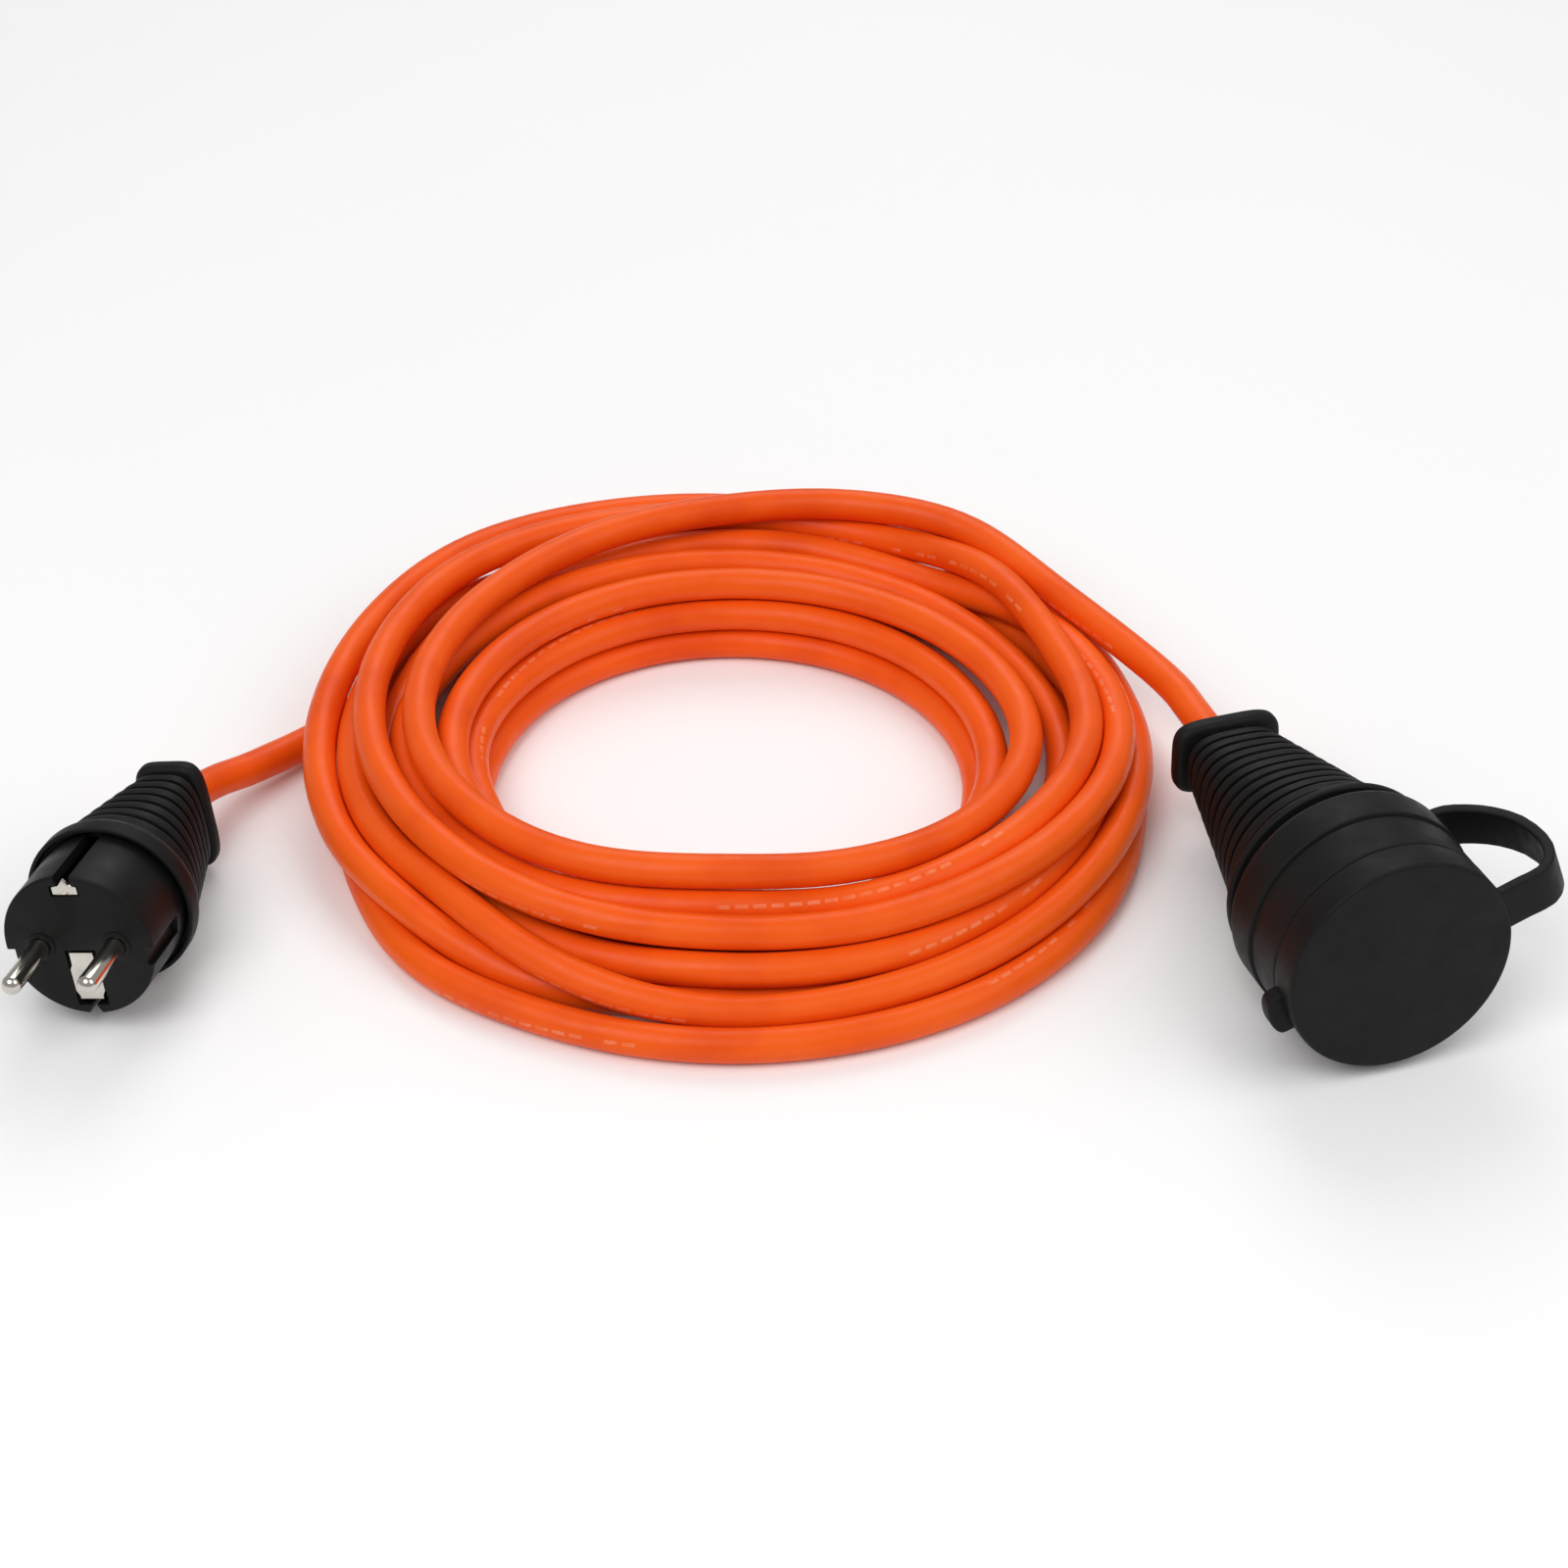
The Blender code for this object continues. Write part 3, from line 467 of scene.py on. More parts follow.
def slab(name, outline, low, high, material):
    # A flat outline of (x, y), from z = low to z = high
    bottom = [(x, y, low) for x, y in outline]
    top = [(x, y, high) for x, y in outline]
    return skin(name, [bottom, top], material)


def box(name, low, high, material):
    corners = [(low[0], low[1]), (high[0], low[1]), (high[0], high[1]), (low[0], high[1])]
    return slab(name, corners, low[2], high[2], material)


def combine(piece, others, operation):
    for other in others:
        modifier = piece.modifiers.new(operation, "BOOLEAN")
        modifier.operation = operation
        modifier.solver = "EXACT"
        modifier.object = other
    bakeShape(piece)
    for other in others:
        bpy.data.objects.remove(other)


def bakeShape(piece):
    # Turns the evaluated shape into a plain mesh and takes the modifiers off
    bpy.context.view_layer.update()
    evaluated = piece.evaluated_get(bpy.context.evaluated_depsgraph_get())
    material = piece.data.materials[0]
    mesh = bpy.data.meshes.new_from_object(evaluated)
    piece.modifiers.clear()
    piece.data = mesh
    mesh.materials.clear()
    mesh.materials.append(material)
    mesh.polygons.foreach_set("material_index", [0] * len(mesh.polygons))


def softenEdges(piece, width, segments=2, angle=35.0):
    modifier = piece.modifiers.new("edges", "BEVEL")
    modifier.width = width
    modifier.segments = segments
    modifier.limit_method = "ANGLE"
    modifier.angle_limit = math.radians(angle)
    bakeShape(piece)


def putDown(piece, place, body, replaced=(), sharpAngle=None):
    if sharpAngle:
        piece.data.shade_smooth()
        piece.data.set_sharp_from_angle(angle=math.radians(sharpAngle))
    if place is not None:
        piece.data.transform(place)
    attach(piece, body)
    if replaced:
        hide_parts(*replaced)
    return piece


def mixed(a, b, t):
    return a + (b - a) * t


cordSizes = {
    "diameter": 0.0085,
    "length": 5.6,
    "centre": (-0.0125, 0.0589),
    "sides": 20,
    "spacing": 0.004,           # between the rings of the finished tube
    "plugSheath": (-0.0568, -0.0655),  # the sheath's front and rear inside the plug
    "couplerSheath": (-0.0855, -0.1),
}
settling = {
    "spacing": 0.005,           # between the points that are let settle
    "apart": 0.0086,            # between the axes of strands that touch
    "steps": 460,
    "hold": 0.02,               # share of the way back to the plan, less with each step
    "sink": 0.000007,
    "stiff": 0.3,
    "neighbours": 12,           # points along the cord that never push each other
    "searchEvery": 15,
}

# The lay of the coil: turns since the start, distance from the middle and height, in millimetres
coilLay = [
    (0.11, 95.5, 4.4), (0.25, 98.5, 4.4), (0.5, 103, 4.4), (0.75, 101.5, 4.4), (0.875, 101, 4.4),
    (1.00, 97, 7.0), (1.1, 96, 11), (1.25, 87, 6), (1.5, 94, 4.4), (1.75, 85, 4.4), (1.875, 96, 11),
    (2.00, 105, 17), (2.125, 110, 23.5), (2.25, 106.5, 21), (2.375, 106, 16.5), (2.5, 104, 13),
    (2.75, 93, 8.3), (2.875, 92, 15), (3.00, 97.5, 17), (3.125, 101, 14.5), (3.25, 97.5, 12.6),
    (3.5, 95.5, 12.8), (3.75, 84.5, 12.8), (3.875, 83, 12.6), (4.00, 88, 13), (4.125, 92, 17.5),
    (4.25, 89, 20.5), (4.5, 99.5, 21), (4.75, 76, 21), (4.875, 83, 23.5), (5.00, 92, 25.5),
    (5.125, 102, 25.5), (5.25, 98, 23.5), (5.5, 91.4, 24), (5.75, 68.5, 20.5), (6.00, 84, 19),
    (6.125, 81, 21), (6.25, 78.5, 21), (6.5, 85.5, 14), (6.75, 75.5, 4.6), (7.00, 65, 4.4),
    (7.25, 63.5, 4.4), (7.5, 64, 4.4), (7.75, 66.5, 4.4), (8.00, 66.5, 12.9), (8.25, 64.0, 12.9),
    (8.5, 67, 13), (8.75, 67, 12.6), (9.00, 71, 21.5), (9.25, 66.5, 21.4), (9.5, 76, 21.5),
    (9.75, 66, 29), (10.0, 79.5, 27.5), (10.125, 83, 29.5), (10.25, 91.5, 30.5), (10.294, 97.0, 30.2),
    (10.34, 100.0, 29.6), (10.366, 100.4, 28.8), (10.394, 101.6, 27.6), (10.423, 104.4, 26.0),
]

# The two free stretches near the ends, as the CAD has them, in millimetres
plugLead = [
    (-149.4, 34.2, 14.6), (-149.2, 35.0, 14.5), (-149.0, 35.9, 14.4), (-148.6, 37.8, 14.1),
    (-147.9, 40.3, 13.7), (-147.0, 43.1, 13.2), (-145.9, 45.6, 12.6), (-144.6, 48.0, 12.0),
    (-143.2, 50.2, 11.4), (-141.4, 52.6, 10.6), (-139.1, 55.4, 9.6), (-136.4, 58.7, 8.6),
    (-133.0, 62.9, 7.7), (-129.7, 66.8, 7.0), (-126.5, 70.6, 7.0), (-123.3, 74.5, 7.0),
]
socketLead = [
    (100.2, 84.2, 21.4), (102.1, 79.0, 21.2), (103.6, 74.5, 21.2), (105.0, 70.0, 21.3),
    (106.4, 65.4, 21.5), (107.8, 61.0, 21.7), (109.1, 56.9, 22.0), (110.2, 53.7, 22.2),
    (110.8, 51.8, 22.4), (111.3, 50.2, 22.5),
]


def evenly(points, spacing):
    steps = np.linalg.norm(np.diff(points, axis=0), axis=1)
    run = np.concatenate([[0.0], np.cumsum(steps)])
    places = np.linspace(0.0, run[-1], int(run[-1] / spacing) + 1)
    return np.stack([np.interp(places, run, points[:, k]) for k in range(3)], 1), run


def plannedCord(sizes, spacing):
    # Plug, lead, coil, lead and coupler on one line, with the count of points held at each end
    turns, radii, heights = (np.array(column) for column in zip(*coilLay))
    t = np.arange(turns[0], turns[-1], 1 / 96)
    r = np.interp(t, turns, radii) / 1000
    a = math.pi - 2 * math.pi * t
    z = np.interp(t, turns, heights) / 1000
    x0, y0 = sizes["centre"]
    ring = np.stack([x0 + r * np.cos(a), y0 + r * np.sin(a), z], 1)
    front, rear = sizes["plugSheath"]
    inPlug = [plugAt @ Vector((0, 0, z)) for z in np.linspace(front, rear, 4)]
    front, rear = sizes["couplerSheath"]
    inCoupler = [couplerAt @ Vector((0, 0, z)) for z in np.linspace(rear, front, 5)]
    head = np.concatenate([np.array(inPlug), np.array(plugLead) / 1000])
    tail = np.concatenate([np.array(socketLead) / 1000, np.array(inCoupler)])
    points, run = evenly(np.concatenate([head, ring, tail]), spacing)
    held = (int(run[len(head) - 1] / spacing) - 1, int((run[-1] - run[-len(tail)]) / spacing) - 1)
    return points, held


def nearPairs(points, reach, neighbours):
    gaps = ((points[:, None, :] - points[None, :, :]) ** 2).sum(2)
    i, j = np.nonzero(gaps < reach ** 2)
    apart = (abs(i - j) > neighbours) & (j < len(points) - 1)
    return i[apart], j[apart]


def pushApart(points, i, j, apart, free):
    # Each point against each near stretch, half of the overlap to each side
    along = points[j + 1] - points[j]
    off = points[i] - points[j]
    share = np.clip((off * along).sum(1) / (along * along).sum(1), 0, 1)[:, None]
    off = off - along * share
    gap = np.linalg.norm(off, axis=1)
    hit = gap < apart
    i, j, share, off, gap = i[hit], j[hit], share[hit], off[hit], gap[hit]
    push = off / gap[:, None] * ((apart - gap) * 0.5)[:, None]
    moved = np.zeros_like(points)
    shares = np.zeros(len(points))
    np.add.at(moved, i, push)
    np.add.at(shares, i, 1)
    np.add.at(moved, j, -push * (1 - share))
    np.add.at(shares, j, 1 - share[:, 0])
    np.add.at(moved, j + 1, -push * share)
    np.add.at(shares, j + 1, share[:, 0])
    return points + moved / np.maximum(shares, 1)[:, None] * 0.9 * free


def settledCord(sizes, how):
    # Lets the planned coil sink and shift until its strands lie on and beside each other
    plan, held = plannedCord(sizes, how["spacing"])
    points = plan.copy()
    free = np.ones((len(points), 1))
    free[: held[0]] = 0
    free[len(points) - held[1]:] = 0
    low = sizes["diameter"] / 2 + 0.00005
    for step in range(how["steps"]):
        if step % how["searchEvery"] == 0:
            i, j = nearPairs(points, how["apart"] * 2, how["neighbours"])
        late = step / how["steps"]
        move = (plan - points) * how["hold"] * (1 - late)
        move[:, 2] -= how["sink"]
        curl = np.zeros_like(points)
        curl[1:-1] = (points[:-2] + points[2:]) / 2 - points[1:-1]
        bend = np.zeros_like(points)
        bend[1:-1] = curl[1:-1] - (curl[:-2] + curl[2:]) / 2
        points = points + (move + bend * how["stiff"]) * free
        for _ in range(2):
            points = pushApart(points, i, j, how["apart"], free)
        points[:, 2] = np.maximum(points[:, 2], low)
    return points


def smoothLine(points, spacing):
    # A finer line through the points, on smooth curves
    line = np.concatenate([[2 * points[0] - points[1]], points, [2 * points[-1] - points[-2]]])
    fine = []
    for i in range(1, len(line) - 2):
        a, b, c, d = line[i - 1 : i + 3]
        for t in (0.0, 0.5):
            bend = (2 * a - 5 * b + 4 * c - d) * t ** 2 + (3 * b - a - 3 * c + d) * t ** 3
            fine.append(0.5 * (2 * b + (c - a) * t + bend))
    fine.append(line[-2])
    return evenly(np.array(fine), spacing)[0]


def cableTube(name, path, sizes, material):
    # A round tube on the path, with UV = (metres along, turns around)
    sides = sizes["sides"]
    along = np.gradient(path, axis=0)
    along /= np.linalg.norm(along, axis=1)[:, None]
    across = np.zeros_like(path)
    first = np.cross(along[0], (0, 0, 1.0))
    across[0] = first / np.linalg.norm(first)
    for i in range(1, len(path)):
        turned = across[i - 1] - along[i] * across[i - 1].dot(along[i])
        across[i] = turned / np.linalg.norm(turned)
    up = np.cross(along, across)
    a = 2 * math.pi * np.arange(sides) / sides
    spokes = across[:, None, :] * np.cos(a)[None, :, None] + up[:, None, :] * np.sin(a)[None, :, None]
    rings = path[:, None, :] + spokes * sizes["diameter"] / 2
    count = len(path)
    points = rings.reshape(-1, 3).tolist() + [path[0].tolist(), path[-1].tolist()]
    run = np.concatenate([[0.0], np.cumsum(np.linalg.norm(np.diff(path, axis=0), axis=1))])
    faces, uvs = [], []
    for i in range(count - 1):
        for j in range(sides):
            k = (j + 1) % sides
            faces.append((i * sides + j, i * sides + k, (i + 1) * sides + k, (i + 1) * sides + j))
            u0, u1, v0, v1 = run[i], run[i + 1], j / sides, (j + 1) / sides
            uvs += [(u0, v0), (u0, v1), (u1, v1), (u1, v0)]
    for j in range(sides):
        k = (j + 1) % sides
        faces.append((count * sides, k, j))
        faces.append((count * sides + 1, (count - 1) * sides + j, (count - 1) * sides + k))
        uvs += [(0.0, 0.2)] * 3 + [(run[-1], 0.2)] * 3
    mesh = bpy.data.meshes.new(name)
    mesh.from_pydata(points, [], faces)
    layer = mesh.uv_layers.new(name="UVMap")
    layer.data.foreach_set("uv", np.array(uvs, np.float32).ravel())
    mesh.shade_smooth()
    mesh.set_sharp_from_angle(angle=math.radians(50))
    return meshObject(name, mesh, material), float(run[-1])


cablePath = smoothLine(settledCord(cordSizes, settling), cordSizes["spacing"])
cable, cableRun = cableTube("cable", cablePath, cordSizes, orangeSheath)
putDown(cable, None, "root",
        ("cord_coil", "cord_plug_lead", "cord_socket_lead", "plug_cable_end", "socket_cable_end"))
print("cable made,", round(cableRun, 3), "m")


ribInputs = (("First", -0.0265), ("Pitch", 0.005), ("Count", 7.0), ("Depth", 0.0013), ("Swell", 0.0004))


def ribTree():
    # Presses a groove behind each rib into a smooth grip, and swells each rib towards its rear edge
    tree = bpy.data.node_groups.new("gripRibs", "GeometryNodeTree")
    tree.interface.new_socket("Geometry", in_out="INPUT", socket_type="NodeSocketGeometry")
    for name, value in ribInputs:
        tree.interface.new_socket(name, in_out="INPUT", socket_type="NodeSocketFloat").default_value = value
    tree.interface.new_socket("Rubber", in_out="INPUT", socket_type="NodeSocketMaterial")
    tree.interface.new_socket("Geometry", in_out="OUTPUT", socket_type="NodeSocketGeometry")
    add, link = tree.nodes.new, tree.links.new
    start, end = add("NodeGroupInput"), add("NodeGroupOutput")

    def maths(operation, *values):
        return mathsNode(tree, operation, values)

    def times(a, b):
        return maths("MULTIPLY", a, b)

    def eased(value, low, high):
        node = add("ShaderNodeMapRange")
        node.interpolation_type = "SMOOTHSTEP"
        link(value, node.inputs["Value"])
        node.inputs["From Min"].default_value = low
        node.inputs["From Max"].default_value = high
        return node.outputs["Result"]

    split, join = add("ShaderNodeSeparateXYZ"), add("ShaderNodeCombineXYZ")
    link(add("GeometryNodeInputPosition").outputs[0], split.inputs[0])
    behind = maths("SUBTRACT", start.outputs["First"], split.outputs["Z"])
    turn = maths("DIVIDE", behind, start.outputs["Pitch"])
    outside = add("GeometryNodeInputNamedAttribute")
    outside.data_type = "FLOAT"
    outside.inputs["Name"].default_value = "ribbed"
    started, ended = maths("GREATER_THAN", turn, 0.0), maths("LESS_THAN", turn, start.outputs["Count"])
    within = times(times(started, ended), outside.outputs["Attribute"])
    phase = maths("FRACT", turn)
    groove = times(eased(phase, 0.6, 0.68), maths("SUBTRACT", 1.0, eased(phase, 0.92, 0.995)))
    rise = times(eased(phase, 0.0, 0.55), maths("SUBTRACT", 1.0, groove))
    swell = times(rise, start.outputs["Swell"])
    inward = maths("SUBTRACT", times(groove, start.outputs["Depth"]), swell)
    link(split.outputs["X"], join.inputs["X"])
    link(split.outputs["Y"], join.inputs["Y"])
    unit, scaled = add("ShaderNodeVectorMath"), add("ShaderNodeVectorMath")
    unit.operation, scaled.operation = "NORMALIZE", "SCALE"
    link(join.outputs[0], unit.inputs[0])
    link(unit.outputs["Vector"], scaled.inputs["Vector"])
    link(times(times(inward, within), -1.0), scaled.inputs["Scale"])
    move, whole = add("GeometryNodeSetPosition"), add("GeometryNodeRealizeInstances")
    paint = add("GeometryNodeSetMaterial")
    link(start.outputs["Geometry"], move.inputs["Geometry"])
    link(scaled.outputs["Vector"], move.inputs["Offset"])
    link(move.outputs["Geometry"], whole.inputs["Geometry"])
    link(whole.outputs["Geometry"], paint.inputs["Geometry"])
    link(start.outputs["Rubber"], paint.inputs["Material"])
    link(paint.outputs["Geometry"], end.inputs["Geometry"])
    return tree


gripRibs = ribTree()

# Where the grip's sections come along one rib, closest at its edges
ribStops = (
    0.0, 0.03, 0.12, 0.25, 0.4, 0.52, 0.58, 0.6, 0.62, 0.64,
    0.66, 0.68, 0.74, 0.82, 0.9, 0.92, 0.94, 0.965, 0.985,
)


def gripOutline(sizes, t):
    # Half widths and squareness of the grip, t of the way along its ribs
    eased = t ** 0.85
    halfX = mixed(sizes["startHalf"], sizes["endHalf"][0], eased)
    halfY = mixed(sizes["startHalf"], sizes["endHalf"][1], eased)
    return halfX, halfY, mixed(2.0, sizes["squareness"], t)


def ribbedSections(sizes):
    rings = []
    for i in range(sizes["ribs"]):
        for share in ribStops:
            t = (i + share) / sizes["ribs"]
            z = mixed(sizes["ribStart"], sizes["ribEnd"], t)
            rings.append(section(*gripOutline(sizes, t), z, sizes["sides"]))
    return rings


def endPlate(sizes):
    # The rounded end plate, from the last rib to the cable's bore
    (halfX, halfY), thick = sizes["plateHalf"], sizes["plateThick"]
    edge = thick * 0.34
    turns = [math.radians(90) * step / 5 for step in range(6)]
    places = [(edge * (1 - math.sin(a)), -edge * (1 - math.cos(a))) for a in turns]
    places += [(edge * (1 - math.cos(a)), edge * (1 - math.sin(a)) - thick) for a in turns]
    front, sides = sizes["ribEnd"], sizes["sides"]
    return [section(halfX - inset, halfY - inset, 4.5, front + z, sides) for inset, z in places]


def chamberRings(sizes):
    # From the rear forwards: the cable's chamfered bore and the chamber for the crimps
    bore, rear = sizes["bore"], sizes["ribEnd"] - sizes["plateThick"]
    chamfer = 0.0005
    rings = [(bore + chamfer, bore + chamfer, 2.0, rear), (bore, bore, 2.0, rear + chamfer)]
    rings += [(bore, bore, 2.0, sizes["boreFront"]), *sizes["chamber"]]
    return [section(*ring, sizes["sides"]) for ring in rings]


def pressRibs(piece, sizes):
    modifier = piece.modifiers.new("ribs", "NODES")
    modifier.node_group = gripRibs
    pitch = (sizes["ribStart"] - sizes["ribEnd"]) / sizes["ribs"]
    values = {
        "First": sizes["ribStart"], "Pitch": pitch, "Count": float(sizes["ribs"]) - 0.001,
        "Depth": sizes["ribDepth"], "Swell": sizes["ribSwell"], "Rubber": blackRubber,
    }
    for item in gripRibs.interface.items_tree:
        if item.in_out == "INPUT" and item.name in values:
            modifier[item.identifier] = values[item.name]
    bakeShape(piece)


def gripShell(name, front, inner, sizes):
    # front and inner are rings; between them come the ribs and the end plate
    rings = front + ribbedSections(sizes) + endPlate(sizes) + inner
    piece = skin(name, rings, blackRubber, loop=True, sharpAngle=28.0)
    # only the outer skin takes the ribs
    flags = []
    for v in piece.data.vertices:
        t = (v.co.z - sizes["ribStart"]) / (sizes["ribEnd"] - sizes["ribStart"])
        halfX, halfY, power = gripOutline(sizes, min(max(t, 0.0), 1.0))
        reach = (abs(v.co.x) / halfX) ** power + (abs(v.co.y) / halfY) ** power
        flags.append(1.0 if reach > sizes["chamberReach"] else 0.0)
    piece.data.attributes.new("ribbed", "FLOAT", "POINT").data.foreach_set("value", flags)
    pressRibs(piece, sizes)
    piece.data.attributes.remove(piece.data.attributes["ribbed"])
    return piece


plugGripSizes = {
    "ribs": 7, "ribStart": -0.0265, "ribEnd": -0.0608, "startHalf": 0.0186, "endHalf": (0.0078, 0.0125),
    "squareness": 3.6, "plateHalf": (0.009, 0.0144), "plateThick": 0.005, "ribDepth": 0.0017,
    "ribSwell": 0.0008, "sides": 128, "chamberReach": 0.93,
    "flangeRadius": 0.0208, "flangeFront": -0.0188, "flangeThick": 0.0046, "neck": (0.0196, -0.0256),
    "dishRadius": 0.0195, "dishDepth": 0.0018, "lipRounds": (0, 0, 0.0003, 0.0004, 0.001, 0.0012, 0.0004, 0),
    "seatRadius": 0.0189, "seatRear": -0.0215, "pocketRadius": 0.0171, "pocketRear": -0.0273,
    "bore": 0.00455, "boreFront": -0.056,
    "chamber": (                # half widths, squareness and z
        (0.0055, 0.0055, 2.4, -0.0556), (0.0121, 0.0087, 2.4, -0.035),
        (0.0121, 0.015, 2.4, -0.0307), (0.0121, 0.015, 2.4, -0.0275),
    ),
}


def plugGrip(sizes):
    s = sizes
    front, floor = s["flangeFront"], s["flangeFront"] - s["dishDepth"]
    lip = [
        (s["seatRadius"], s["seatRear"]), (s["seatRadius"], floor), (s["dishRadius"], floor),
        (s["dishRadius"] + 0.0001, front), (s["flangeRadius"], front),
        (s["flangeRadius"], front - s["flangeThick"]), s["neck"],
        (s["startHalf"] + 0.0001, s["ribStart"] + 0.0003),
    ]
    frontRings = [circle(r, z, s["sides"]) for r, z in rounded(lip, s["lipRounds"], 5)]
    pocket = [circle(s["pocketRadius"], z, s["sides"]) for z in (s["pocketRear"], s["seatRear"])]
    piece = gripShell("plug_rubber_grip", frontRings, chamberRings(s) + pocket, s)
    return putDown(piece, plugAt, "root", ("plug_grip",), 30.0)


plugInsertSizes = {
    "radius": 0.0186, "spigotRadius": 0.0168, "shoulder": -0.0212, "length": 0.027, "edge": 0.0007,
    "grooveHalf": 0.0036, "grooveFloor": 0.0133, "bedHalf": 0.0039, "bedDepth": 0.0011, "bedTop": -0.0012,
    "keyDepth": 0.0022, "keyHalf": 0.0023, "keyY": -0.003, "keyLength": 0.015,
    "pinHole": 0.00255, "pinX": 0.0095, "collar": 0.0036, "collarHeight": 0.0005,
    "slotTop": 0.0161, "mouthHalf": {1: 0.0021, -1: 0.0024}, "rootHalf": {1: 0.002, -1: 0.0005},
    "sleeveHole": 0.0036, "sleeveY": -0.01, "sleeveRear": -0.02,
}


def plugInsert(sizes):
    s = sizes
    outline = [
        (0.0, -s["length"]), (s["spigotRadius"], -s["length"]), (s["spigotRadius"], s["shoulder"]),
        (s["radius"], s["shoulder"]), (s["radius"], 0.0), (0.0, 0.0),
    ]
    outline = rounded(outline, (0, 0.0003, 0, 0.0002, s["edge"], 0), 4)
    piece = lathe("plug_carrier", outline, blackCarrier, 128)
    past = 0.001
    collars = []
    for side in (1, -1):
        rim = [
            (0.0, -0.0008), (s["collar"], -0.0008), (s["collar"], s["collarHeight"] * 0.7),
            (s["collar"] - 0.0003, s["collarHeight"]), (0.0, s["collarHeight"]),
        ]
        collars.append(lathe("collar", rim, blackCarrier, 48, (side * s["pinX"], 0.0)))
    combine(piece, collars, "UNION")
    cuts = []
    deep = -s["length"] - past
    for side in (1, -1):
        # a wide slot for the earth strip, and a narrower groove outside it
        low, high = sorted((side * s["grooveFloor"], side * s["slotTop"]))
        cuts.append(box("slot", (-s["grooveHalf"], low, deep), (s["grooveHalf"], high, past), blackCarrier))
        outside = side * (s["radius"] + past)
        mouth, root = s["mouthHalf"][side], s["rootHalf"][side]
        inside = side * (s["slotTop"] - 0.0002)
        groove = [(-mouth, outside), (mouth, outside), (root, inside), (-root, inside)]
        cuts.append(slab("groove", groove, deep, past, blackCarrier))
        near, far = sorted((side * (s["radius"] - s["keyDepth"]), side * (s["radius"] + past)))
        keyLow, keyHigh = s["keyY"] - s["keyHalf"], s["keyY"] + s["keyHalf"]
        cuts.append(box("key", (near, keyLow, -s["keyLength"]), (far, keyHigh, past), blackCarrier))
        cuts.append(rod("pinHole", s["pinHole"], deep, past, blackCarrier, (side * s["pinX"], 0.0)))
    bedLow, bedHigh = (-s["bedHalf"], -s["slotTop"], -s["bedDepth"]), (s["bedHalf"], s["bedTop"], past)
    cuts.append(box("bed", bedLow, bedHigh, blackCarrier))
    cuts.append(rod("sleeveHole", s["sleeveHole"], s["sleeveRear"], past, blackCarrier, (0.0, s["sleeveY"])))
    combine(piece, cuts, "DIFFERENCE")
    softenEdges(piece, 0.00018)
    return putDown(piece, plugAt, "root", ("plug_insert",), 30.0)


pinSizes = {"radius": 0.0024, "tip": 0.019, "tail": -0.0285, "edge": 0.0003, "round": 0.0021, "x": 0.0095}


def plugPin(sizes, name, side, replaced):
    radius, tip, tail, edge = sizes["radius"], sizes["tip"], sizes["tail"], sizes["edge"]
    outline = [(0.0, tail), (radius - edge, tail), (radius, tail + edge)]
    outline += [(radius, z) for z in (-0.0004, 0.001, 0.01, tip - sizes["round"])]
    for step in range(1, 9):
        a = math.radians(90) * step / 9
        outline.append((radius * math.cos(a) ** 0.9, tip - sizes["round"] * (1 - math.sin(a))))
    outline.append((0.0, tip))
    piece = lathe(name, outline, nickelPlate, 56, (side * sizes["x"], 0.0), sharpAngle=40.0)
    return putDown(piece, plugAt, "root", (replaced,), 40.0)


earthStripSizes = {
    "half": 0.0028, "thick": 0.0008, "y": 0.014, "rear": -0.0304, "hole": 0.0025, "holeY": -0.01,
    "sink": 0.00012,            # keeps the joined pieces' faces out of one plane
    "plate": (                  # the right half of its outline
        (0.0029, -0.0019), (0.003, -0.0052), (0.00365, -0.0064), (0.00365, -0.0122), (0.0029, -0.0136),
    ),
    "highPlate": (
        (-0.0031, 0.01365), (0.0031, 0.01365), (0.0031, 0.0156), (0.0013, 0.016),
        (0.0, 0.0176), (-0.0013, 0.016), (-0.0031, 0.0156),
    ),
}


def plugEarthStrip(sizes):
    s = sizes
    t, half, rear, sink = s["thick"], s["half"], s["rear"], s["sink"]
    inner, outer = s["y"] - t / 2, s["y"] + t / 2
    right = [*s["plate"], (s["plate"][-1][0], -outer)]
    left = [(-x, y) for x, y in reversed(right)]
    piece = slab("plug_earth_strip", left[-1:] + right + left[:-1], -t, 0.0, nickelPlate)
    parts = [
        box("lowStrip", (-half, -outer + sink / 2, rear + sink), (half, -inner, -sink), nickelPlate),
        box("yoke", (-half + sink, -outer + sink, rear), (half - sink, outer - sink, rear + t), nickelPlate),
        box("highStrip", (-half, inner, rear + sink), (half, outer, -0.0009), nickelPlate),
        slab("highPlate", s["highPlate"], -0.0011, -0.0003, nickelPlate),
    ]
    combine(piece, parts, "UNION")
    combine(piece, [rod("hole", s["hole"], -0.003, 0.001, nickelPlate, (0.0, s["holeY"]))], "DIFFERENCE")
    softenEdges(piece, 0.00012)
    return putDown(piece, plugAt, "root", ("plug_earth_bracket",), 30.0)


sleeveSizes = {"inner": 0.0025, "outer": 0.0032, "rear": -0.019, "front": -0.0011, "y": -0.01}


def plugEarthSleeve(sizes):
    inner, outer, rear, front = (sizes[word] for word in ("inner", "outer", "rear", "front"))
    outline = [(inner, rear), (outer, rear), (outer, front), (inner, front)]
    piece = lathe("plug_earth_tube", outline, nickelPlate, 48, (0.0, sizes["y"]), loop=True)
    return putDown(piece, plugAt, "root", ("plug_earth_sleeve",), 30.0)


